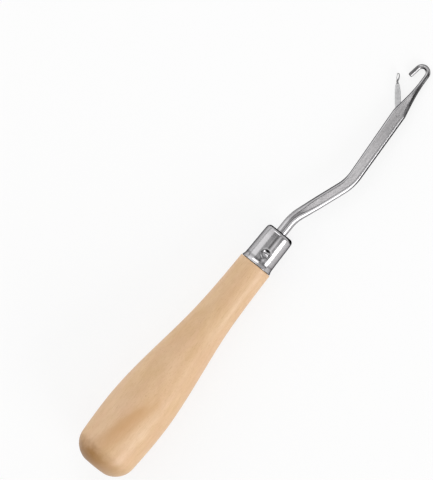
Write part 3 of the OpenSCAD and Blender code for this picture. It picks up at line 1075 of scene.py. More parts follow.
@dataclass
class Ferrule:
    """The pressed cap with its flared lip, its rounded shoulder and the punched dimple.

    The fields from the one for the flare's foot on say where dark shade is painted on the plating: how much,
    and over which widths in millimetres or, round the front edge, in degrees.
    """

    tool: ToolFrame
    dimple: Dimple
    start: float
    end: float
    lip_r: float
    body_r: float = 5.15
    front_r: float = 4.9
    wall: float = 0.5
    lip_l: float = 1.9
    shoulder_r: float = 1.3
    droop: float = 0.05
    droop_l: float = 2.6
    hole_r: float = 1.93
    # painted shade: dark lines at the flare's foot and the lip, a dark front edge, a dark ring round the
    # dimple and a dark spot beside it
    foot_shade: float = 0.45
    foot_w: float = 0.32
    lip_shade: float = 0.85
    lip_edge: tuple = (0.26, 0.10)
    front_edge: tuple = (0.55, 0.78)
    front_nearer: tuple = (0.75, 0.45)
    front_r_edge: tuple = (-0.5, 0.2)
    near_angle: float = 292.0
    near_w: float = 18.0
    rim_shade: float = 0.8
    rim_r: float = 1.38
    rim_w: float = 0.22
    dark_spot_gap: float = 0.72
    dark_spot_r: float = 0.46
    around: int = 256

    def radius(self, x: np.ndarray) -> np.ndarray:
        """The outer radius: a straight taper, a flare that dies out as a square, and a slight droop in front.

        Args:
            x: place along the tool.

        Returns:
            The radius at each place.
        """
        flare = (self.lip_r - self.body_r) * (1 - share(x, self.start, self.start + self.lip_l)) ** 2
        shoulder = self.end - self.shoulder_r
        droop = self.droop * share(x, shoulder - self.droop_l, shoulder) ** 2
        return blend(self.body_r, self.front_r, share(x, self.start, self.end)) + flare - droop

    def outline(self) -> np.ndarray:
        """The closed profile of the sheet, over the outside and back inside.

        Returns:
            Points as (x, radius), one a row.
        """
        turn_x = self.end - self.shoulder_r
        turn_r = float(self.radius(np.array(turn_x))) - self.shoulder_r
        half = self.wall / 2
        flare_x = self.start + half + np.linspace(0, self.lip_l, 14)
        body_x = np.linspace(flare_x[-1], turn_x, 92)[1:-1]
        outer_x = np.concatenate([flare_x, body_x])
        outer = np.column_stack([outer_x, self.radius(outer_x)])
        inner = outer[::-1] - np.array([0, self.wall])
        lip_middle = (self.start + half, float(self.radius(flare_x[0])) - half)
        rim = (self.end - half, self.hole_r + half)
        return np.concatenate(
            [
                arc(lip_middle, half, 180, 90, 5)[:-1],
                outer,
                arc((turn_x, turn_r), self.shoulder_r, 90, 0, 18),
                line((self.end, turn_r), (self.end, rim[1]), 8),
                arc(rim, half, 0, -180, 10)[1:],
                line((self.end - self.wall, rim[1]), (self.end - self.wall, turn_r), 4),
                arc((turn_x, turn_r), self.shoulder_r - self.wall, 0, 90, 8)[1:],
                inner,
                arc(lip_middle, half, 270, 180, 5)[1:-1],
            ]
        )

    def shade_rings(self, x: np.ndarray, radius: np.ndarray, angle: np.ndarray) -> np.ndarray:
        """How much dark shade is painted on the plating: on the flare's foot, the lip's edge, the front edge
        and the dimple's rim.

        Foot and rim are bells, e to minus the square of the distance over the
        width, and the painted dark spot beside the dimple falls with the fourth power.

        Args:
            x: place along the tool.
            radius: distance from its axis.
            angle: angle round it.

        Returns:
            One value from 0 to 1 for each point.
        """
        foot = self.foot_shade * np.exp(-(((x - self.start - self.lip_l) / self.foot_w) ** 2))
        lip = self.lip_shade * share(x - self.start, *self.lip_edge)
        turn = (x - (self.end - self.shoulder_r)) / self.shoulder_r
        near_side = np.exp(-(((np.degrees(angle) - self.near_angle) / self.near_w) ** 2))
        edge = (edge - nearer * near_side for edge, nearer in zip(self.front_edge, self.front_nearer))
        above = radius - (self.front_r - self.shoulder_r)
        front = soft(share(turn, *edge)) * soft(share(above, *self.front_r_edge))
        away, distance = self.dimple.places(x, angle)
        rim = self.rim_shade * np.exp(-(((distance - self.rim_r) / self.rim_w) ** 2))
        dark_spot = np.hypot(x - self.dimple.x - self.dark_spot_gap, away * self.dimple.radius)
        rim = np.maximum(rim, np.exp(-((dark_spot / self.dark_spot_r) ** 4)))
        return np.clip(np.maximum(np.maximum(foot, lip), np.maximum(front, rim)), 0.0, 1.0)

    def build(self, finish: Material) -> Piece:
        """Turns the sheet's profile and presses the dimple into both of its faces.

        Args:
            finish: the plating.

        Returns:
            The finished piece.
        """
        outline = self.outline()
        angle = angles_round(self.around)
        x = outline[:, :1]
        on_wall = (x < self.end - self.shoulder_r) & (outline[:, 1:2] > self.front_r - 2 * self.wall)
        push = np.where(on_wall, self.dimple.push(x, angle), 0.0)
        rings = turned(outline, self.around, Axis.LENGTH, push)
        points = self.tool.to_row(rings.reshape(-1, 3))
        # the plating's painted shade, kept on the mesh
        looks = {"painted_shade": self.shade_rings(x, outline[:, 1:2], angle).ravel()}
        piece = make_piece("ferrule_shell", points, tube_faces(len(outline), self.around, ring=True), looks)
        dress(piece, finish, "body", "ferrule")
        return piece


def corner_arc(
    corner: np.ndarray, radius: float, start: float, end: float, steps: int
) -> tuple[np.ndarray, np.ndarray]:
    """The arc that rounds a corner between two directions.

    It starts before the corner by its radius times the tangent of half the turn.

    Args:
        corner: where the two straight lines meet.
        radius: the arc's radius.
        start: the direction before the corner, in degrees.
        end: the direction after it.
        steps: how many steps the arc is walked in.

    Returns:
        The points, one a row, and the direction at each.
    """
    back = radius * math.tan(math.radians(abs(end - start) / 2))
    centre = corner - back * along(start) + math.copysign(radius, end - start) * left(start)
    return bend_arc(centre, radius, start, end, steps)


def bend_arc(
    centre: np.ndarray, radius: float, start: float, end: float, steps: int
) -> tuple[np.ndarray, np.ndarray]:
    """An arc on which a line turns.

    Each point is the centre less the radius times the unit vector to the left
    of the line, or plus it where the line turns right.

    Args:
        centre: the arc's centre.
        radius: its radius.
        start: the line's direction at its start, in degrees.
        end: the direction at its end.
        steps: how many steps it is walked in.

    Returns:
        The points, one a row, and the direction at each.
    """
    turn = np.linspace(start, end, steps + 1)
    return np.array(centre) - math.copysign(radius, end - start) * left(turn), turn


@dataclass
class Track:
    """A middle line in the plane of the bends, gathered stretch by stretch."""

    places: list
    angles: list

    def add(self, points: np.ndarray, angles: np.ndarray | float) -> None:
        """Adds points with the angle at each, or with one angle for all of them."""
        self.places.append(points)
        self.angles.append(np.full(len(points), angles, float))

    def straight(
        self, start: np.ndarray, end: np.ndarray, angle: float, steps: int, last: bool = True
    ) -> None:
        """Adds the points after start on a straight stretch, with or without its last one."""
        self.add(line(start, end, steps)[: None if last else -1], angle)

    def joined(self) -> tuple[np.ndarray, np.ndarray]:
        """All points, one a row, and the angle at each."""
        return np.concatenate(self.places), np.concatenate(self.angles)


@dataclass(frozen=True)
class MiddleLine:
    """The shank's middle line.

    It has its points and the direction at each in degrees, the spans of x over
    which the rod is pressed flat, turns in the second bend and runs on to the
    latch's pivot, and the direction of the nose.
    """

    points: np.ndarray
    angles: np.ndarray
    press: tuple
    edge: tuple
    fore: tuple
    nose_angle: float


@dataclass(frozen=True)
class PaintedShading:
    """Where dark shade and dark reflections are painted on the shank's sides, its nose and its hook.

    Edges are shares of a rounding or of the half width, and turns are
    directions of the middle line in degrees.
    """

    latch_start: tuple = (0.50, 0.52)
    latch_full: float = 0.72
    far_edge: tuple = (0.58, 0.72)
    nose_edge: tuple = (-0.35, 0.05)
    nose_ahead: tuple = (2.5, 10.5)
    nose_gloss: float = 0.15
    hook_least: float = 0.3
    hook_turn: tuple = (12.0, 60.0)
    bend_turn: tuple = (25.0, 60.0)
    inside: float = 0.95
    inside_edge: tuple = (0.05, 0.5)
    inside_end: tuple = (135.0, 105.0)
    outside: float = 0.8
    outside_edge: tuple = (0.55, 0.8)
    arm: float = 0.75
    arm_turn: tuple = (120.0, 165.0)
    arm_edge: tuple = (0.25, -0.15)

    def sides(self, middle: MiddleLine, pivot: np.ndarray, sizes: tuple, across: np.ndarray) -> np.ndarray:
        """How much dark shade is painted at each point.

        The latch side is painted dark from the first bend on, the other one from the
        second bend on. On the nose the painted dark side reaches over the lower half,
        and the hook's arm and the inside of its bend are painted dark all over.

        Args:
            middle: the middle line.
            pivot: the latch's pivot.
            sizes: half width, half thickness and the two roundings at each point.
            across: each point's place across the section.

        Returns:
            One value from 0 to 1 for each point of the skin.
        """
        w, _, upper, lower = (size[:, None] for size in sizes)
        x, turn, side = middle.points[:, :1], middle.angles[:, None], across / w
        on_fore = soft(share(x, *middle.edge))
        latch_side = share((across - (w - upper)) / upper, blend(*self.latch_start, on_fore), self.latch_full)
        ahead = (middle.points - pivot) @ along(middle.nose_angle)
        nose = soft(share(ahead[:, None], *self.nose_ahead)) * (turn < 90)
        low, high = (blend(far, near, nose) for far, near in zip(self.far_edge, self.nose_edge))
        far_side = share((-across - (w - lower)) / lower, low, high) * on_fore * (1 - self.nose_gloss * nose)
        painted_shade = np.maximum(latch_side * soft(share(x, *middle.press)), far_side)
        bend = share(turn, *self.bend_turn)
        inside = self.inside * share(side, *self.inside_edge) * bend * share(turn, *self.inside_end)
        outside = self.outside * share(-side, *self.outside_edge) * bend
        hook = np.maximum(np.maximum(self.hook_least, inside), outside)
        painted_shade = blend(painted_shade, hook, soft(share(turn, *self.hook_turn)))
        arm = self.arm * share(turn, *self.arm_turn) * share(side, *self.arm_edge)
        return np.clip(np.maximum(painted_shade, arm), 0.0, 1.0)


@dataclass
class Shank:
    """The steel shank: tang, two bends, pressed flats with the latch's slot, nose and hook."""

    tool: ToolFrame
    ferrule_end: float
    tang_start: float
    pivot: np.ndarray
    cheek_t: float
    rivet_r: float
    shoulder: float
    rod_r: float = 1.81
    tang_r: float = 1.6
    tang_chamfer: float = 0.35
    tang_step: float = 0.02
    tang_lead: float = 0.4
    bend_lead: float = 0.05
    bend_gap: float = 6.0
    crank_l: float = 21.2
    crank_angle: float = -20.0
    first_bend_r: float = 14.0
    second_bend_r: float = 15.5
    band_w: float = 3.96
    cheek_w: float = 4.40
    upper_crank_r: float = 1.15
    upper_edge_r: float = 0.8
    crank_edge_r: float = 1.2
    lower_edge_r: float = 1.0
    press_l: float = 7.5
    taper_gap: float = 0.8
    taper_l: float = 12.7
    taper_fullness: float = 0.5
    flats_span: tuple = (0.12, 0.9)
    upper_span: tuple = (0.4, 0.95)
    lower_span: tuple = (0.0, 0.4)
    nose_l: float = 15.5
    nose_drop: float = 0.9
    wire_r: float = 0.74
    hook_r: float = 1.93
    hook_splay: float = 8.5
    hook_arm_l: float = 3.5
    tip_share: float = 0.6
    tip_steps: int = 8
    ear_back: float = 5.0
    ear_size: tuple = (6.0, 5.2, 1.0)
    ear_edge: float = 0.2
    slot_half_t: float = 0.48
    slot_r: float = 1.25
    slot_angles: tuple = (27.5, 150.0)
    flat_fade: tuple = (-0.14, 0.04)
    flat_least: tuple = (0.35, 0.95)
    # the dark shade painted on the shank's sides, nose and hook
    painted_shading: PaintedShading = PaintedShading()
    # painted shade on the ground flats, darker towards the hook, and on the hook's tip
    flat_shade: float = 0.36
    flat_shade_x: tuple = (124.0, 143.0)
    tip_shade: float = 0.8
    around: int = 96

    @property
    def tip_turn(self) -> np.ndarray:
        """The angles at which the hook's rounded tip is stepped, in radians."""
        return np.radians(np.linspace(0, 90, self.tip_steps + 1)[1:])

    def middle_line(self) -> MiddleLine:
        """The middle line from the tang's end to the hook's tip.

        Returns:
            The line with its directions and spans.
        """
        corner = np.array([self.ferrule_end + self.bend_gap, 0.0])
        crank_corner = corner + self.crank_l * along(self.crank_angle)
        fore = self.pivot - crank_corner
        fore_angle = math.degrees(math.atan2(fore[1], fore[0]))
        nose_angle = fore_angle - self.nose_drop
        arm_angle = 180 - self.hook_splay
        first, first_turn = corner_arc(corner, self.first_bend_r, 0.0, self.crank_angle, 26)
        second, second_turn = corner_arc(crank_corner, self.second_bend_r, self.crank_angle, fore_angle, 28)
        tang_front = self.shoulder - self.tang_step
        tang_lead, bend_lead = self.tang_start + self.tang_lead, first[0, 0] - self.bend_lead
        stops = (self.tang_start, tang_lead, tang_front, self.shoulder, bend_lead)
        track = Track([np.array([[self.tang_start, 0.0]])], [np.zeros(1)])
        for start, end, steps in zip(stops, stops[1:], (4, 12, 1, 10)):
            track.straight((start, 0.0), (end, 0.0), 0.0, steps)
        track.add(first, first_turn)
        track.straight(first[-1], second[0], self.crank_angle, 30, last=False)
        track.add(second, second_turn)
        track.straight(second[-1], self.pivot, fore_angle, 44)
        track.angles[-1][-1] = (fore_angle + nose_angle) / 2
        reaches = (0.0, self.taper_gap, self.taper_gap + self.taper_l, self.nose_l)
        stops = [self.pivot + reach * along(nose_angle) for reach in reaches]
        for start, end, steps in zip(stops, stops[1:], (3, 84, 8)):
            track.straight(start, end, nose_angle, steps, last=end is not stops[-1])
        hook_centre = stops[-1] + self.hook_r * left(nose_angle)
        track.add(*bend_arc(hook_centre, self.hook_r, nose_angle, arm_angle, 56))
        arm_start = hook_centre - self.hook_r * left(arm_angle)
        tip_round = self.tip_share * self.wire_r
        tip = arm_start + (self.hook_arm_l - tip_round) * along(arm_angle)
        track.straight(arm_start, tip, arm_angle, 12)
        track.add(tip + tip_round * np.sin(self.tip_turn)[:, None] * along(arm_angle), arm_angle)
        return MiddleLine(
            *track.joined(),
            press=(first[0, 0], first[-1, 0] + self.press_l),
            edge=(second[0, 0], second[-1, 0]),
            fore=(second[-1, 0], self.pivot[0]),
            nose_angle=nose_angle,
        )

    def sections(self, middle: MiddleLine) -> tuple[np.ndarray, np.ndarray, np.ndarray, np.ndarray]:
        """Half width, half thickness and the two edge roundings at each point.

        The rod is pressed flat from the first bend on. In front of the pivot
        the cheeks draw down: the width first, then the flats, then their edges.
        Over the share u of the nose's taper the width falls with the square of
        1 - u, times 1 plus the fullness times u.

        Args:
            middle: the middle line.

        Returns:
            Four arrays with one value a point.
        """
        x = middle.points[:, 0]
        press, bent = soft(share(x, *middle.press)), soft(share(x, *middle.edge))
        width = blend(self.band_w, self.cheek_w, share(x, *middle.fore)) / 2
        pressed = (
            width,
            self.cheek_t / 2,
            blend(self.upper_crank_r, self.upper_edge_r, bent),
            blend(self.crank_edge_r, self.lower_edge_r, bent),
        )
        w, h, upper, lower = (blend(self.rod_r, size, press) for size in pressed)
        ahead = (middle.points - self.pivot) @ along(middle.nose_angle)
        at_pivot = np.flatnonzero(np.isclose(middle.points, self.pivot).all(1))[0]
        nose = np.arange(len(x)) > at_pivot
        u = np.where(nose, share(ahead, self.taper_gap, self.taper_gap + self.taper_l), 0.0)
        u[np.flatnonzero(nose & (u >= 1.0))[0] :] = 1.0
        narrow = (1 - u) ** 2 * (1 + self.taper_fullness * u)
        flats, upper_u, lower_u = (
            soft(share(u, *span_u)) for span_u in (self.flats_span, self.upper_span, self.lower_span)
        )
        w = np.where(nose, blend(self.wire_r, self.cheek_w / 2, narrow), w)
        h = np.where(nose, blend(self.cheek_t / 2, self.wire_r, flats), h)
        upper = np.where(nose, blend(self.upper_edge_r, self.wire_r, upper_u), upper)
        lower = np.where(nose, blend(self.lower_edge_r, self.cheek_t / 2, lower_u), lower)
        tip = self.wire_r * (1 - self.tip_share * (1 - np.cos(self.tip_turn)))
        w[-self.tip_steps :], h[-self.tip_steps :] = tip, tip
        tang = x < self.shoulder - self.tang_step / 2
        chamfer = np.clip(self.tang_r - self.tang_chamfer + (x - self.tang_start), None, self.tang_r)
        for size in (w, h, upper, lower):
            size[tang] = chamfer[tang]
        limit = np.minimum(w, h)
        return w, h, np.minimum(upper, limit), np.minimum(lower, limit)

    def slot_block(self) -> Piece:
        """The solid that the latch's slot removes: a fan from the pivot out of the latch side.

        Returns:
            The solid.
        """
        front, rear = self.slot_angles
        reach = self.cheek_w / min(math.sin(math.radians(front)), math.sin(math.radians(rear)))
        bottom = arc((0, 0), self.slot_r, rear + 90, front + 270, 40)
        front_end = -self.slot_r * left(front) + reach * along(front)
        rear_end = self.slot_r * left(rear) + reach * along(rear)
        outline = np.concatenate([bottom, [front_end, [front_end[0], reach], [rear_end[0], reach], rear_end]])
        outline = outline + self.pivot
        layers = (-self.slot_half_t, self.slot_half_t)
        rings = np.stack([np.column_stack([outline, np.full(len(outline), z)]) for z in layers])
        return capped_piece("slot_block", self.tool, rings)

    def ear_block(self) -> Piece:
        """The two pressed ears that stop the tang from turning in the wood, as one plate.

        Returns:
            The solid.
        """
        length, width, thickness = self.ear_size
        edge, around = self.ear_edge, 24
        x = self.tang_start + self.ear_back + np.array([0, edge, length - edge, length])
        narrow = np.array([edge, 0, 0, edge])
        high, rounding = np.full(4, thickness / 2), np.full(4, edge)
        across, up, _ = rounded_rings(width / 2 - narrow, high, rounding, rounding, around)
        rings = np.stack([np.repeat(x[:, None], around, 1), across, up], -1)
        return capped_piece("ear_block", self.tool, rings)

    def build(self, finish: Material) -> Piece:
        """Carries the section along the middle line, then adds the ears and cuts slot and hole.

        Args:
            finish: the steel.

        Returns:
            The finished piece.
        """
        middle = self.middle_line()
        x = middle.points[:, :1]
        w, h, upper, lower = sizes = self.sections(middle)
        across, up, _ = rounded_rings(w, h, upper, lower, self.around)
        inset = np.minimum((w - upper)[:, None] - across, (w - lower)[:, None] + across)
        wide_enough = share(2 * w - upper - lower, *self.flat_least)[:, None]
        on_flat = share(inset, *self.flat_fade) * wide_enough * soft(share(x, *middle.press))
        place = middle.points[:, None, :] + across[..., None] * left(middle.angles)[:, None, :]
        rings = np.concatenate([place, up[..., None]], -1)
        painted_shade = self.painted_shading.sides(middle, self.pivot, sizes, across)
        # painted shade on the ground flats, growing towards the hook
        painted_shade = np.maximum(painted_shade, self.flat_shade * on_flat * soft(share(x, *self.flat_shade_x)))
        looks = {"flat": with_ends(on_flat, 0.0, 0.0), "painted_shade": with_ends(painted_shade, 0.0, self.tip_shade)}
        piece = capped_piece("shank_steel", self.tool, rings, looks)
        change(piece, self.ear_block(), Cut.JOIN)
        change(piece, self.slot_block(), Cut.AWAY)
        change(piece, bore(self.tool, self.pivot, self.rivet_r, self.cheek_t), Cut.AWAY)
        dress(piece, finish, "body", "shank")
        return piece


@dataclass
class Rivet:
    """The latch's rivet, peened flush with the cheeks and dressed round its rim."""

    tool: ToolFrame
    pivot: np.ndarray
    radius: float
    half_length: float
    clearance: float = 0.01
    rim: float = 0.045
    face_gap: float = 0.001
    # painted shade on the rivet, as much as on the flats round it
    painted_shading: float = 0.36
    around: int = 64

    def build(self, finish: Material) -> Piece:
        """Turns the rivet with its two rounded rims.

        Args:
            finish: the steel.

        Returns:
            The finished piece.
        """
        top, edge_r = self.half_length, self.radius - self.clearance
        outline = np.concatenate(
            [
                line((-top, 0), (-top, edge_r - self.rim), 4),
                arc((-top + self.rim, edge_r - self.rim), self.rim, 180, 90, 5)[1:],
                line((-top + self.rim, edge_r), (top - self.rim, edge_r), 6),
                arc((top - self.rim, edge_r - self.rim), self.rim, 90, 0, 5)[1:],
                line((top, edge_r - self.rim), (top, 0), 4)[:-1],
            ]
        )
        rings = turned(outline, self.around, Axis.HEIGHT) + [*self.pivot, 0]
        flat = with_ends(np.abs(rings[..., 2]) > top - self.face_gap, 1.0, 1.0)
        # the rivet's faces count as flats and carry the same painted shade
        looks = {"flat": flat, "painted_shade": np.full(len(flat), self.painted_shading)}
        piece = capped_piece("latch_rivet_steel", self.tool, rings, looks)
        dress(piece, finish, "body", "latch_rivet")
        return piece


@dataclass
class Latch:
    """The swinging latch: eye, flat blade, narrow neck and the cupped spoon.

    Spans named u are shares of the spoon's length, and the others are
    millimetres from the blade's end.
    """

    tool: ToolFrame
    pivot: np.ndarray
    angle: float = 39.7
    eye_r: float = 1.0
    eye_hole_r: float = 0.65
    eye_reach: float = 2.0
    blade_l: float = 9.9
    blade_end_w: float = 1.3
    blade_full_r: float = 0.96
    blade_fall_l: float = 3.5
    shoulder_l: float = 0.55
    thickness: float = 0.7
    neck_w: float = 0.62
    neck_cup: float = 0.06
    spoon_gap: float = 0.6
    spoon_l: float = 3.6
    spoon_w: float = 2.1
    spoon_h: float = 0.95
    spoon_t: float = 0.32
    spoon_dip: float = 0.25
    crown_swell: float = 0.12
    widen_u: tuple = (0.0, 0.45)
    round_u: tuple = (0.55, 1.0)
    roundness: float = 0.9
    thin_u: tuple = (0.0, 0.3)
    sheet_u: tuple = (0.0, 0.35)
    deepen_u: tuple = (0.0, 0.5)
    lift_u: tuple = (0.8, 1.0)
    lift: float = 0.25
    tip_round: float = 0.3
    tip_gap: float = 0.001
    tip_half: float = 0.35
    tip_wide: float = 0.75
    edge_r: float = 0.09
    edge_most: float = 0.9
    face_gap: float = 0.01
    # painted shade on the neck, on the spoon's rim and inside its cup, and at its end
    neck_shade: float = 0.7
    neck_start: tuple = (0.0, 0.3)
    neck_end: tuple = (1.3, 0.8)
    rim_shade: float = 0.95
    rim_start: tuple = (0.9, 1.4)
    rim_inside: tuple = (0.3, -0.2)
    end_shade: float = 0.75
    end_span: tuple = (0.5, 0.1)
    far_end_shade: float = 0.5
    around: int = 72

    def places(self) -> np.ndarray:
        """The places along the latch that have a section, closer together round the eye and the spoon.

        Returns:
            Distances from the pivot, which lies in the middle of the eye.
        """
        shoulder, tip = self.blade_l + self.shoulder_l, self.blade_l + self.spoon_l - self.tip_round
        return np.concatenate(
            [
                -self.eye_r * np.cos(np.radians(np.linspace(4, 90, 16))),
                np.linspace(0, self.blade_l, 30)[1:],
                np.linspace(self.blade_l, shoulder, 12)[1:],
                np.linspace(shoulder, tip, 40)[1:],
                tip + self.tip_round * np.sin(np.radians(np.linspace(0, 86, 10)[1:])),
            ]
        )

    def stations(self) -> dict[str, np.ndarray]:
        """The section at each place along the latch.

        Each section is a rounded bar whose middle sinks with the square of
        the distance from the middle plane, which makes the spoon's cup. The
        eye is a circle, the blade narrows with the square of the way into its
        fall, and the cup's outline closes as the root of 1 less a square.

        Returns:
            Arrays named u, half (across the bar), wide (half width in z),
            middle (its place across) and sink (how far its sides sink).
        """
        u = self.places()
        taper = share(u, self.blade_l - self.blade_fall_l, self.blade_l) ** 2
        blade = blend(blend(self.eye_r, self.blade_full_r, share(u, 0, 1)), self.blade_end_w / 2, taper)
        blade = np.where(u < 0, np.sqrt(np.clip(self.eye_r**2 - u**2, 0, None)), blade)
        neck = self.neck_w / 2
        blade = blend(blade, neck, soft(share(u, self.blade_l, self.blade_l + self.shoulder_l)))
        t = share(u, self.blade_l + self.spoon_gap, self.blade_l + self.spoon_l)
        cup = blend(self.neck_w, self.spoon_w, soft(share(t, *self.widen_u))) / 2
        cup = cup * np.sqrt(1 - self.roundness * share(t, *self.round_u) ** 2)
        wide = np.maximum(cup, self.thickness / 2 * (1 - soft(share(t, *self.thin_u))))
        sheet = blend(self.neck_w, self.spoon_t, soft(share(t, *self.sheet_u)))
        crown = neck + self.crown_swell * np.sin(math.pi * t) - self.spoon_dip * soft(t)
        sink = blend(self.neck_cup, self.spoon_h - self.spoon_t, soft(share(t, *self.deepen_u)))
        sink = sink * (1 - self.lift * share(t, *self.lift_u))
        neck_sink = self.neck_cup * soft(share(u, self.blade_l, self.blade_l + self.spoon_gap))
        wide, sheet, top, sink = (
            np.where(t > 0, on_spoon, before)
            for on_spoon, before in (
                (wide, self.thickness / 2), (sheet, 2 * blade), (crown, blade), (sink, neck_sink)
            )
        )
        close = np.sqrt(np.clip(1 - share(u, u[-1] - self.tip_round, u[-1] + self.tip_gap) ** 2, 0, 1))
        return {
            "u": u,
            "half": sheet / 2 * blend(self.tip_half, 1.0, close),
            "wide": wide * blend(self.tip_wide, 1.0, close),
            "middle": top - sheet / 2,
            "sink": sink,
        }

    def shade_parts(self, u: np.ndarray, inside: np.ndarray) -> np.ndarray:
        """How much dark shade is painted at each point: on the neck, on the spoon's rim and inside, and at
        its end.

        Args:
            u: place along the latch.
            inside: 1 on the rim and inside the cup, and 0 on the spoon's back.

        Returns:
            One value from 0 to 1 for each point.
        """
        past, left_over = u - self.blade_l, u.max() - u
        neck = self.neck_shade * soft(share(past, *self.neck_start)) * soft(share(past, *self.neck_end))
        rim = self.rim_shade * inside * share(past, *self.rim_start)
        return np.clip(neck + rim + self.end_shade * share(left_over, *self.end_span), 0.0, 1.0)

    def build(self, finish: Material) -> Piece:
        """Carries the section along the latch, turns it to its rest angle and bores the eye.

        Args:
            finish: the steel.

        Returns:
            The finished piece.
        """
        s = self.stations()
        edge = np.minimum(self.edge_r, self.edge_most * np.minimum(s["half"], s["wide"]))
        across, up, on_rim = rounded_rings(s["half"], s["wide"], edge, edge, self.around)
        sunk = s["middle"][:, None] + across - s["sink"][:, None] * (up / s["wide"][:, None]) ** 2
        u = np.repeat(s["u"][:, None], self.around, 1)
        place = self.pivot + u[..., None] * along(self.angle) + sunk[..., None] * left(self.angle)
        on_blade = (np.abs(up) > self.thickness / 2 - self.face_gap) & (u < self.blade_l)
        inside = np.maximum(on_rim, share(across / s["half"][:, None], *self.rim_inside))
        looks = {
            "flat": with_ends(on_blade, 0.0, 0.0),
            "painted_shade": with_ends(self.shade_parts(u, inside), 0.0, self.far_end_shade),
        }
        piece = capped_piece("latch_blade", self.tool, np.concatenate([place, up[..., None]], -1), looks)
        change(piece, bore(self.tool, self.pivot, self.eye_hole_r, self.eye_reach), Cut.AWAY)
        dress(piece, finish, "latch", "latch")
        return piece


def place_object(thing: Piece, axes: np.ndarray, place: np.ndarray) -> None:
    """Adds a camera or a lamp to the scene.

    Args:
        thing: the camera or lamp.
        axes: the directions of its own x, y and z, one a row.
        place: where it stands.
    """
    matrix = np.eye(4)
    matrix[:3, :3], matrix[:3, 3] = np.asarray(axes).T, place
    thing.matrix_world = Matrix(matrix.tolist())
    bpy.context.scene.collection.objects.link(thing)


@dataclass(frozen=True)
class View:
    """The camera, held as the photograph's: above the tool, turned so that it points up and right.

    Its two angles are in degrees, its scale in millimetres a pixel and its
    clip in metres.
    """

    tool: ToolFrame
    middle: tuple = (80.2, 14.73)
    turn: float = 51.32
    lean: float = 7.0
    scale: float = 0.3175
    height_px: int = 480
    distance: float = 1800.0
    sensor: float = 24.0
    clip: tuple = (0.01, 20.0)

    @property
    def axes(self) -> np.ndarray:
        """The picture's own directions.

        Returns:
            Right, up and back to the camera, one a row.
        """
        x, y, z = self.tool.axes
        lean, turn = math.radians(self.lean), math.radians(self.turn)
        back = math.cos(lean) * z - math.sin(lean) * y
        across = math.cos(lean) * y + math.sin(lean) * z
        right = math.cos(turn) * x - math.sin(turn) * across
        return np.array([right, math.sin(turn) * x + math.cos(turn) * across, back])

    def build(self) -> Piece:
        """Places the camera so that the picture has the photograph's scale.

        The lens is the sensor times the distance, over the height of what is seen.

        Returns:
            The camera.
        """
        lens = bpy.data.cameras.new("camera")
        lens.sensor_fit = "VERTICAL"
        lens.sensor_height = lens.sensor_width = self.sensor
        lens.lens = self.sensor * self.distance / (self.scale * self.height_px)
        lens.clip_start, lens.clip_end = self.clip
        camera = bpy.data.objects.new("camera", lens)
        target = self.tool.to_row([*self.middle, 0.0])
        place_object(camera, self.axes, target + self.axes[2] * self.distance * MM)
        bpy.context.scene.camera = camera
        return camera


@dataclass(frozen=True)
class Softbox:
    """A soft lamp over the tool, given by where its reflection lies.

    The angles side (towards -y), end (towards the hook) and span are in
    degrees, and the length and the distance in metres.
    """

    name: str
    side: float
    end: float
    span: float
    length: float
    radiance: float
    distance: float = 1.5
    aim: tuple = (82.0, -2.0, 0.0)

    def build(self, tool: ToolFrame, view: View) -> Piece:
        """Adds the lamp.

        Its width is twice the distance times the tangent of half the span, and
        its energy is pi times the radiance times the area.

        Args:
            tool: the tool's frame.
            view: the camera, from whose direction the two angles are counted.

        Returns:
            The lamp.
        """
        x, y, _ = tool.axes
        back = view.axes[2]
        side, end = math.radians(self.side), math.radians(self.end)
        outward = unit(back * float(back @ y) - y)
        direction = math.cos(end) * (math.cos(side) * back + math.sin(side) * outward) + math.sin(end) * x
        direction = unit(direction)
        long_side = unit(x - direction * float(direction @ x))
        width = 2 * self.distance * math.tan(math.radians(self.span) / 2)
        lamp = bpy.data.lights.new(self.name, "AREA")
        lamp.shape = "RECTANGLE"
        lamp.size, lamp.size_y = self.length, width
        lamp.energy = self.radiance * math.pi * self.length * width
        box = bpy.data.objects.new(self.name, lamp)
        axes = (long_side, np.cross(direction, long_side), direction)
        place_object(box, axes, tool.to_row(self.aim) + direction * self.distance)
        return box


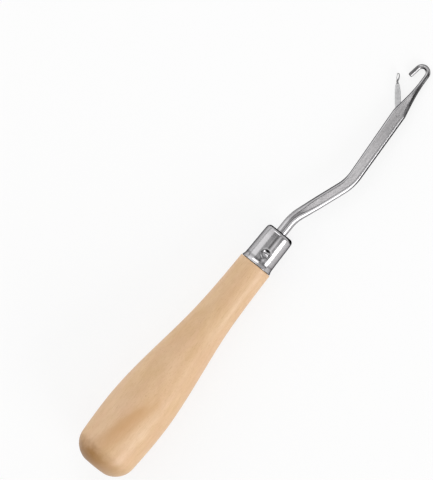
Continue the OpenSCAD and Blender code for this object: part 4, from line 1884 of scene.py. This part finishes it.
@dataclass(frozen=True)
class Studio:
    """The pale floor, the room's soft light and the softboxes.

    The floor's size is in metres. In the room, an edge or a band is a range of
    the cosine between a direction and the tool's x (for the walls, straight
    up), and the camera's two angles are in degrees.
    """

    tool: ToolFrame
    view: View
    floor_size: float = 6.0
    floor_lines: int = 9
    floor_drop: float = 0.02
    floor_colour: tuple = (0.95, 0.95, 0.95, 1.0)
    backdrop_share: float = 0.80
    mirrored_share: float = 0.25
    overhead: float = 0.60
    walls: float = 0.70
    wall_edge: tuple = (0.05, 0.9)
    camera_dark: float = 0.12
    camera_angles: tuple = (9.0, 4.0)
    panel_boost: float = 0.35
    panel_band: tuple = ((-0.7, -0.45), (-0.25, -0.05))
    flag_level: float = 0.20
    flag_band: tuple = ((0.02, 0.12), (0.28, 0.42))
    butt_level: float = 0.06
    butt_edge: tuple = (-0.85, -0.6)
    boxes: tuple = (
        Softbox("key_softbox", side=63.0, end=-11.0, span=26.0, length=1.0, radiance=4.6),
        Softbox("fill_softbox", side=-66.0, end=0.0, span=44.0, length=2.2, radiance=0.70),
        Softbox("near_strip", side=20.0, end=0.0, span=16.0, length=0.7, radiance=0.55),
        Softbox("far_strip", side=-13.0, end=0.0, span=2.5, length=0.5, radiance=0.4),
        Softbox("hook_end_softbox", side=-22.0, end=25.0, span=46.0, length=0.4, radiance=2.2),
    )

    def paper(self) -> Material:
        """Matt paper that shows the camera mostly white, and the tool's mirrors partly.

        Returns:
            The floor's material.
        """
        material, sheet, shader = new_finish("floor_paper")
        looks = {"Base Color": self.floor_colour, "Roughness": 1.0, "Specular IOR Level": 0.0}
        for name, value in looks.items():
            shader.inputs[name].default_value = value
        rays = sheet.node("ShaderNodeLightPath").outputs
        mirrored = sheet.math("MAXIMUM", rays["Is Glossy Ray"], rays["Is Transmission Ray"])
        mirrored = sheet.times(mirrored, self.mirrored_share)
        seen = sheet.math("MAXIMUM", sheet.times(rays["Is Camera Ray"], self.backdrop_share), mirrored)
        white = sheet.value("ShaderNodeEmission", 0, {"Strength": 1.0})
        mixed = sheet.value("ShaderNodeMixShader", 0, {0: seen, 1: shader.outputs["BSDF"], 2: white})
        sheet.link(mixed, sheet.tree.nodes["Material Output"].inputs["Surface"])
        return material

    def floor(self) -> Piece:
        """Lays the floor just under the tool.

        Returns:
            The floor.
        """
        count, half = self.floor_lines, self.floor_size / 2
        x, y = np.meshgrid(*[np.linspace(-half, half, count)] * 2)
        points = np.column_stack([x.ravel(), y.ravel(), np.full(x.size, -self.floor_drop * MM)])
        i = (np.arange(count - 1)[:, None] * count + np.arange(count - 1)).ravel()
        faces = np.column_stack([i, i + 1, i + count + 1, i + count])
        floor = add_mesh("floor", points, faces.tolist())
        floor.data.materials.append(self.paper())
        return floor

    def room(self) -> None:
        """The world: pale walls, a dimmer ceiling, a bright panel, two dark parts and the dark camera."""
        world = bpy.data.worlds.new("room")
        bpy.context.scene.world = world
        world.use_nodes = True
        sheet = Sheet(world.node_tree)
        direction = sheet.value("ShaderNodeTexCoord", "Generated", {})
        hookward = sheet.along(direction, self.tool.axes[0])
        upward = sheet.value("ShaderNodeSeparateXYZ", "Z", {0: direction})
        level = sheet.rescale(upward, *self.wall_edge, self.walls, self.overhead)
        cosines = [math.cos(math.radians(angle)) for angle in self.camera_angles]
        near = sheet.rescale(sheet.along(direction, self.view.axes[2]), *cosines, 0.0, 1.0)
        level = sheet.math("SUBTRACT", level, sheet.times(near, self.overhead - self.camera_dark))
        panel = sheet.band(hookward, *self.panel_band)
        level = sheet.plus(level, sheet.times(panel, self.panel_boost))
        flag, butt = sheet.band(hookward, *self.flag_band), sheet.rescale(hookward, *self.butt_edge, 1.0, 0.0)
        for mask, dark in ((flag, self.flag_level), (butt, self.butt_level)):
            lost = sheet.times(sheet.math("SUBTRACT", level, dark), mask)
            level = sheet.math("SUBTRACT", level, lost)
        white = (1.0, 1.0, 1.0, 1.0)
        light = sheet.value("ShaderNodeBackground", 0, {"Color": white, "Strength": level})
        sheet.node("ShaderNodeOutputWorld", {"Surface": light})

    def build(self) -> None:
        """Sets up floor, room and lamps."""
        self.floor()
        self.room()
        for box in self.boxes:
            box.build(self.tool, self.view)
        bpy.context.scene.view_settings.view_transform = "Standard"
        LOG.info("studio: %d softboxes", len(self.boxes))


def main() -> None:
    """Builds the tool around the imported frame, then the studio and the camera."""
    logging.basicConfig(level=logging.INFO, format="%(message)s")
    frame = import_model()
    tool = ToolFrame.found(frame)
    _, handle_high = tool.extent("handle")
    ferrule_low, ferrule_high = tool.extent("ferrule")
    shank_low, _ = tool.extent("shank")
    rivet_low, rivet_high = tool.extent("latch_rivet")
    pivot = ((rivet_low + rivet_high) / 2)[:2]
    rivet_r = (rivet_high[0] - rivet_low[0]) / 2
    dimple = Dimple(x=ferrule_low[0] + DIMPLE_SETBACK)
    latch = Latch(tool, pivot)
    groups = Groups(brushed_group(), handling_group())
    wood = LacqueredWood().build(tool, groups)
    nickel = PlatedNickel().build(tool, groups)
    shank_steel = GroundSteel(
        "ground_shank_steel",
        colour=(0.50, 0.49, 0.50, 1.0),
        matt_colour=(0.80, 0.78, 0.79, 1.0),
        shade_and_mottle_colour=(0.05, 0.05, 0.05, 1.0),
        matt_roughness=0.38,
        bright_roughness=0.16,
        spacing=0.16,
    ).build(tool, groups)
    latch_steel = GroundSteel(
        "satin_latch_steel",
        colour=(0.86, 0.86, 0.86, 1.0),
        matt_colour=(0.57, 0.57, 0.58, 1.0),
        shade_and_mottle_colour=(0.10, 0.10, 0.10, 1.0),
        matt_roughness=0.38,
        bright_roughness=0.20,
        spacing=0.12,
        turn=latch.angle,
        about=tuple(pivot),
    ).build(tool, groups)
    Handle(
        tool, dimple, length=ferrule_low[0] - GLUE_GAP, tenon_end=handle_high[0], bulge_r=handle_high[1]
    ).build(wood)
    Ferrule(tool, dimple, start=ferrule_low[0], end=ferrule_high[0], lip_r=ferrule_high[1]).build(nickel)
    Shank(
        tool,
        ferrule_end=ferrule_high[0],
        tang_start=shank_low[0],
        pivot=pivot,
        cheek_t=rivet_high[2] - rivet_low[2],
        rivet_r=rivet_r,
        shoulder=handle_high[0] + GLUE_GAP,
    ).build(shank_steel)
    latch.build(latch_steel)
    Rivet(tool, pivot, rivet_r, half_length=rivet_high[2]).build(shank_steel)
    view = View(tool)
    view.build()
    Studio(tool, view).build()


if __name__ == "__main__":
    main()
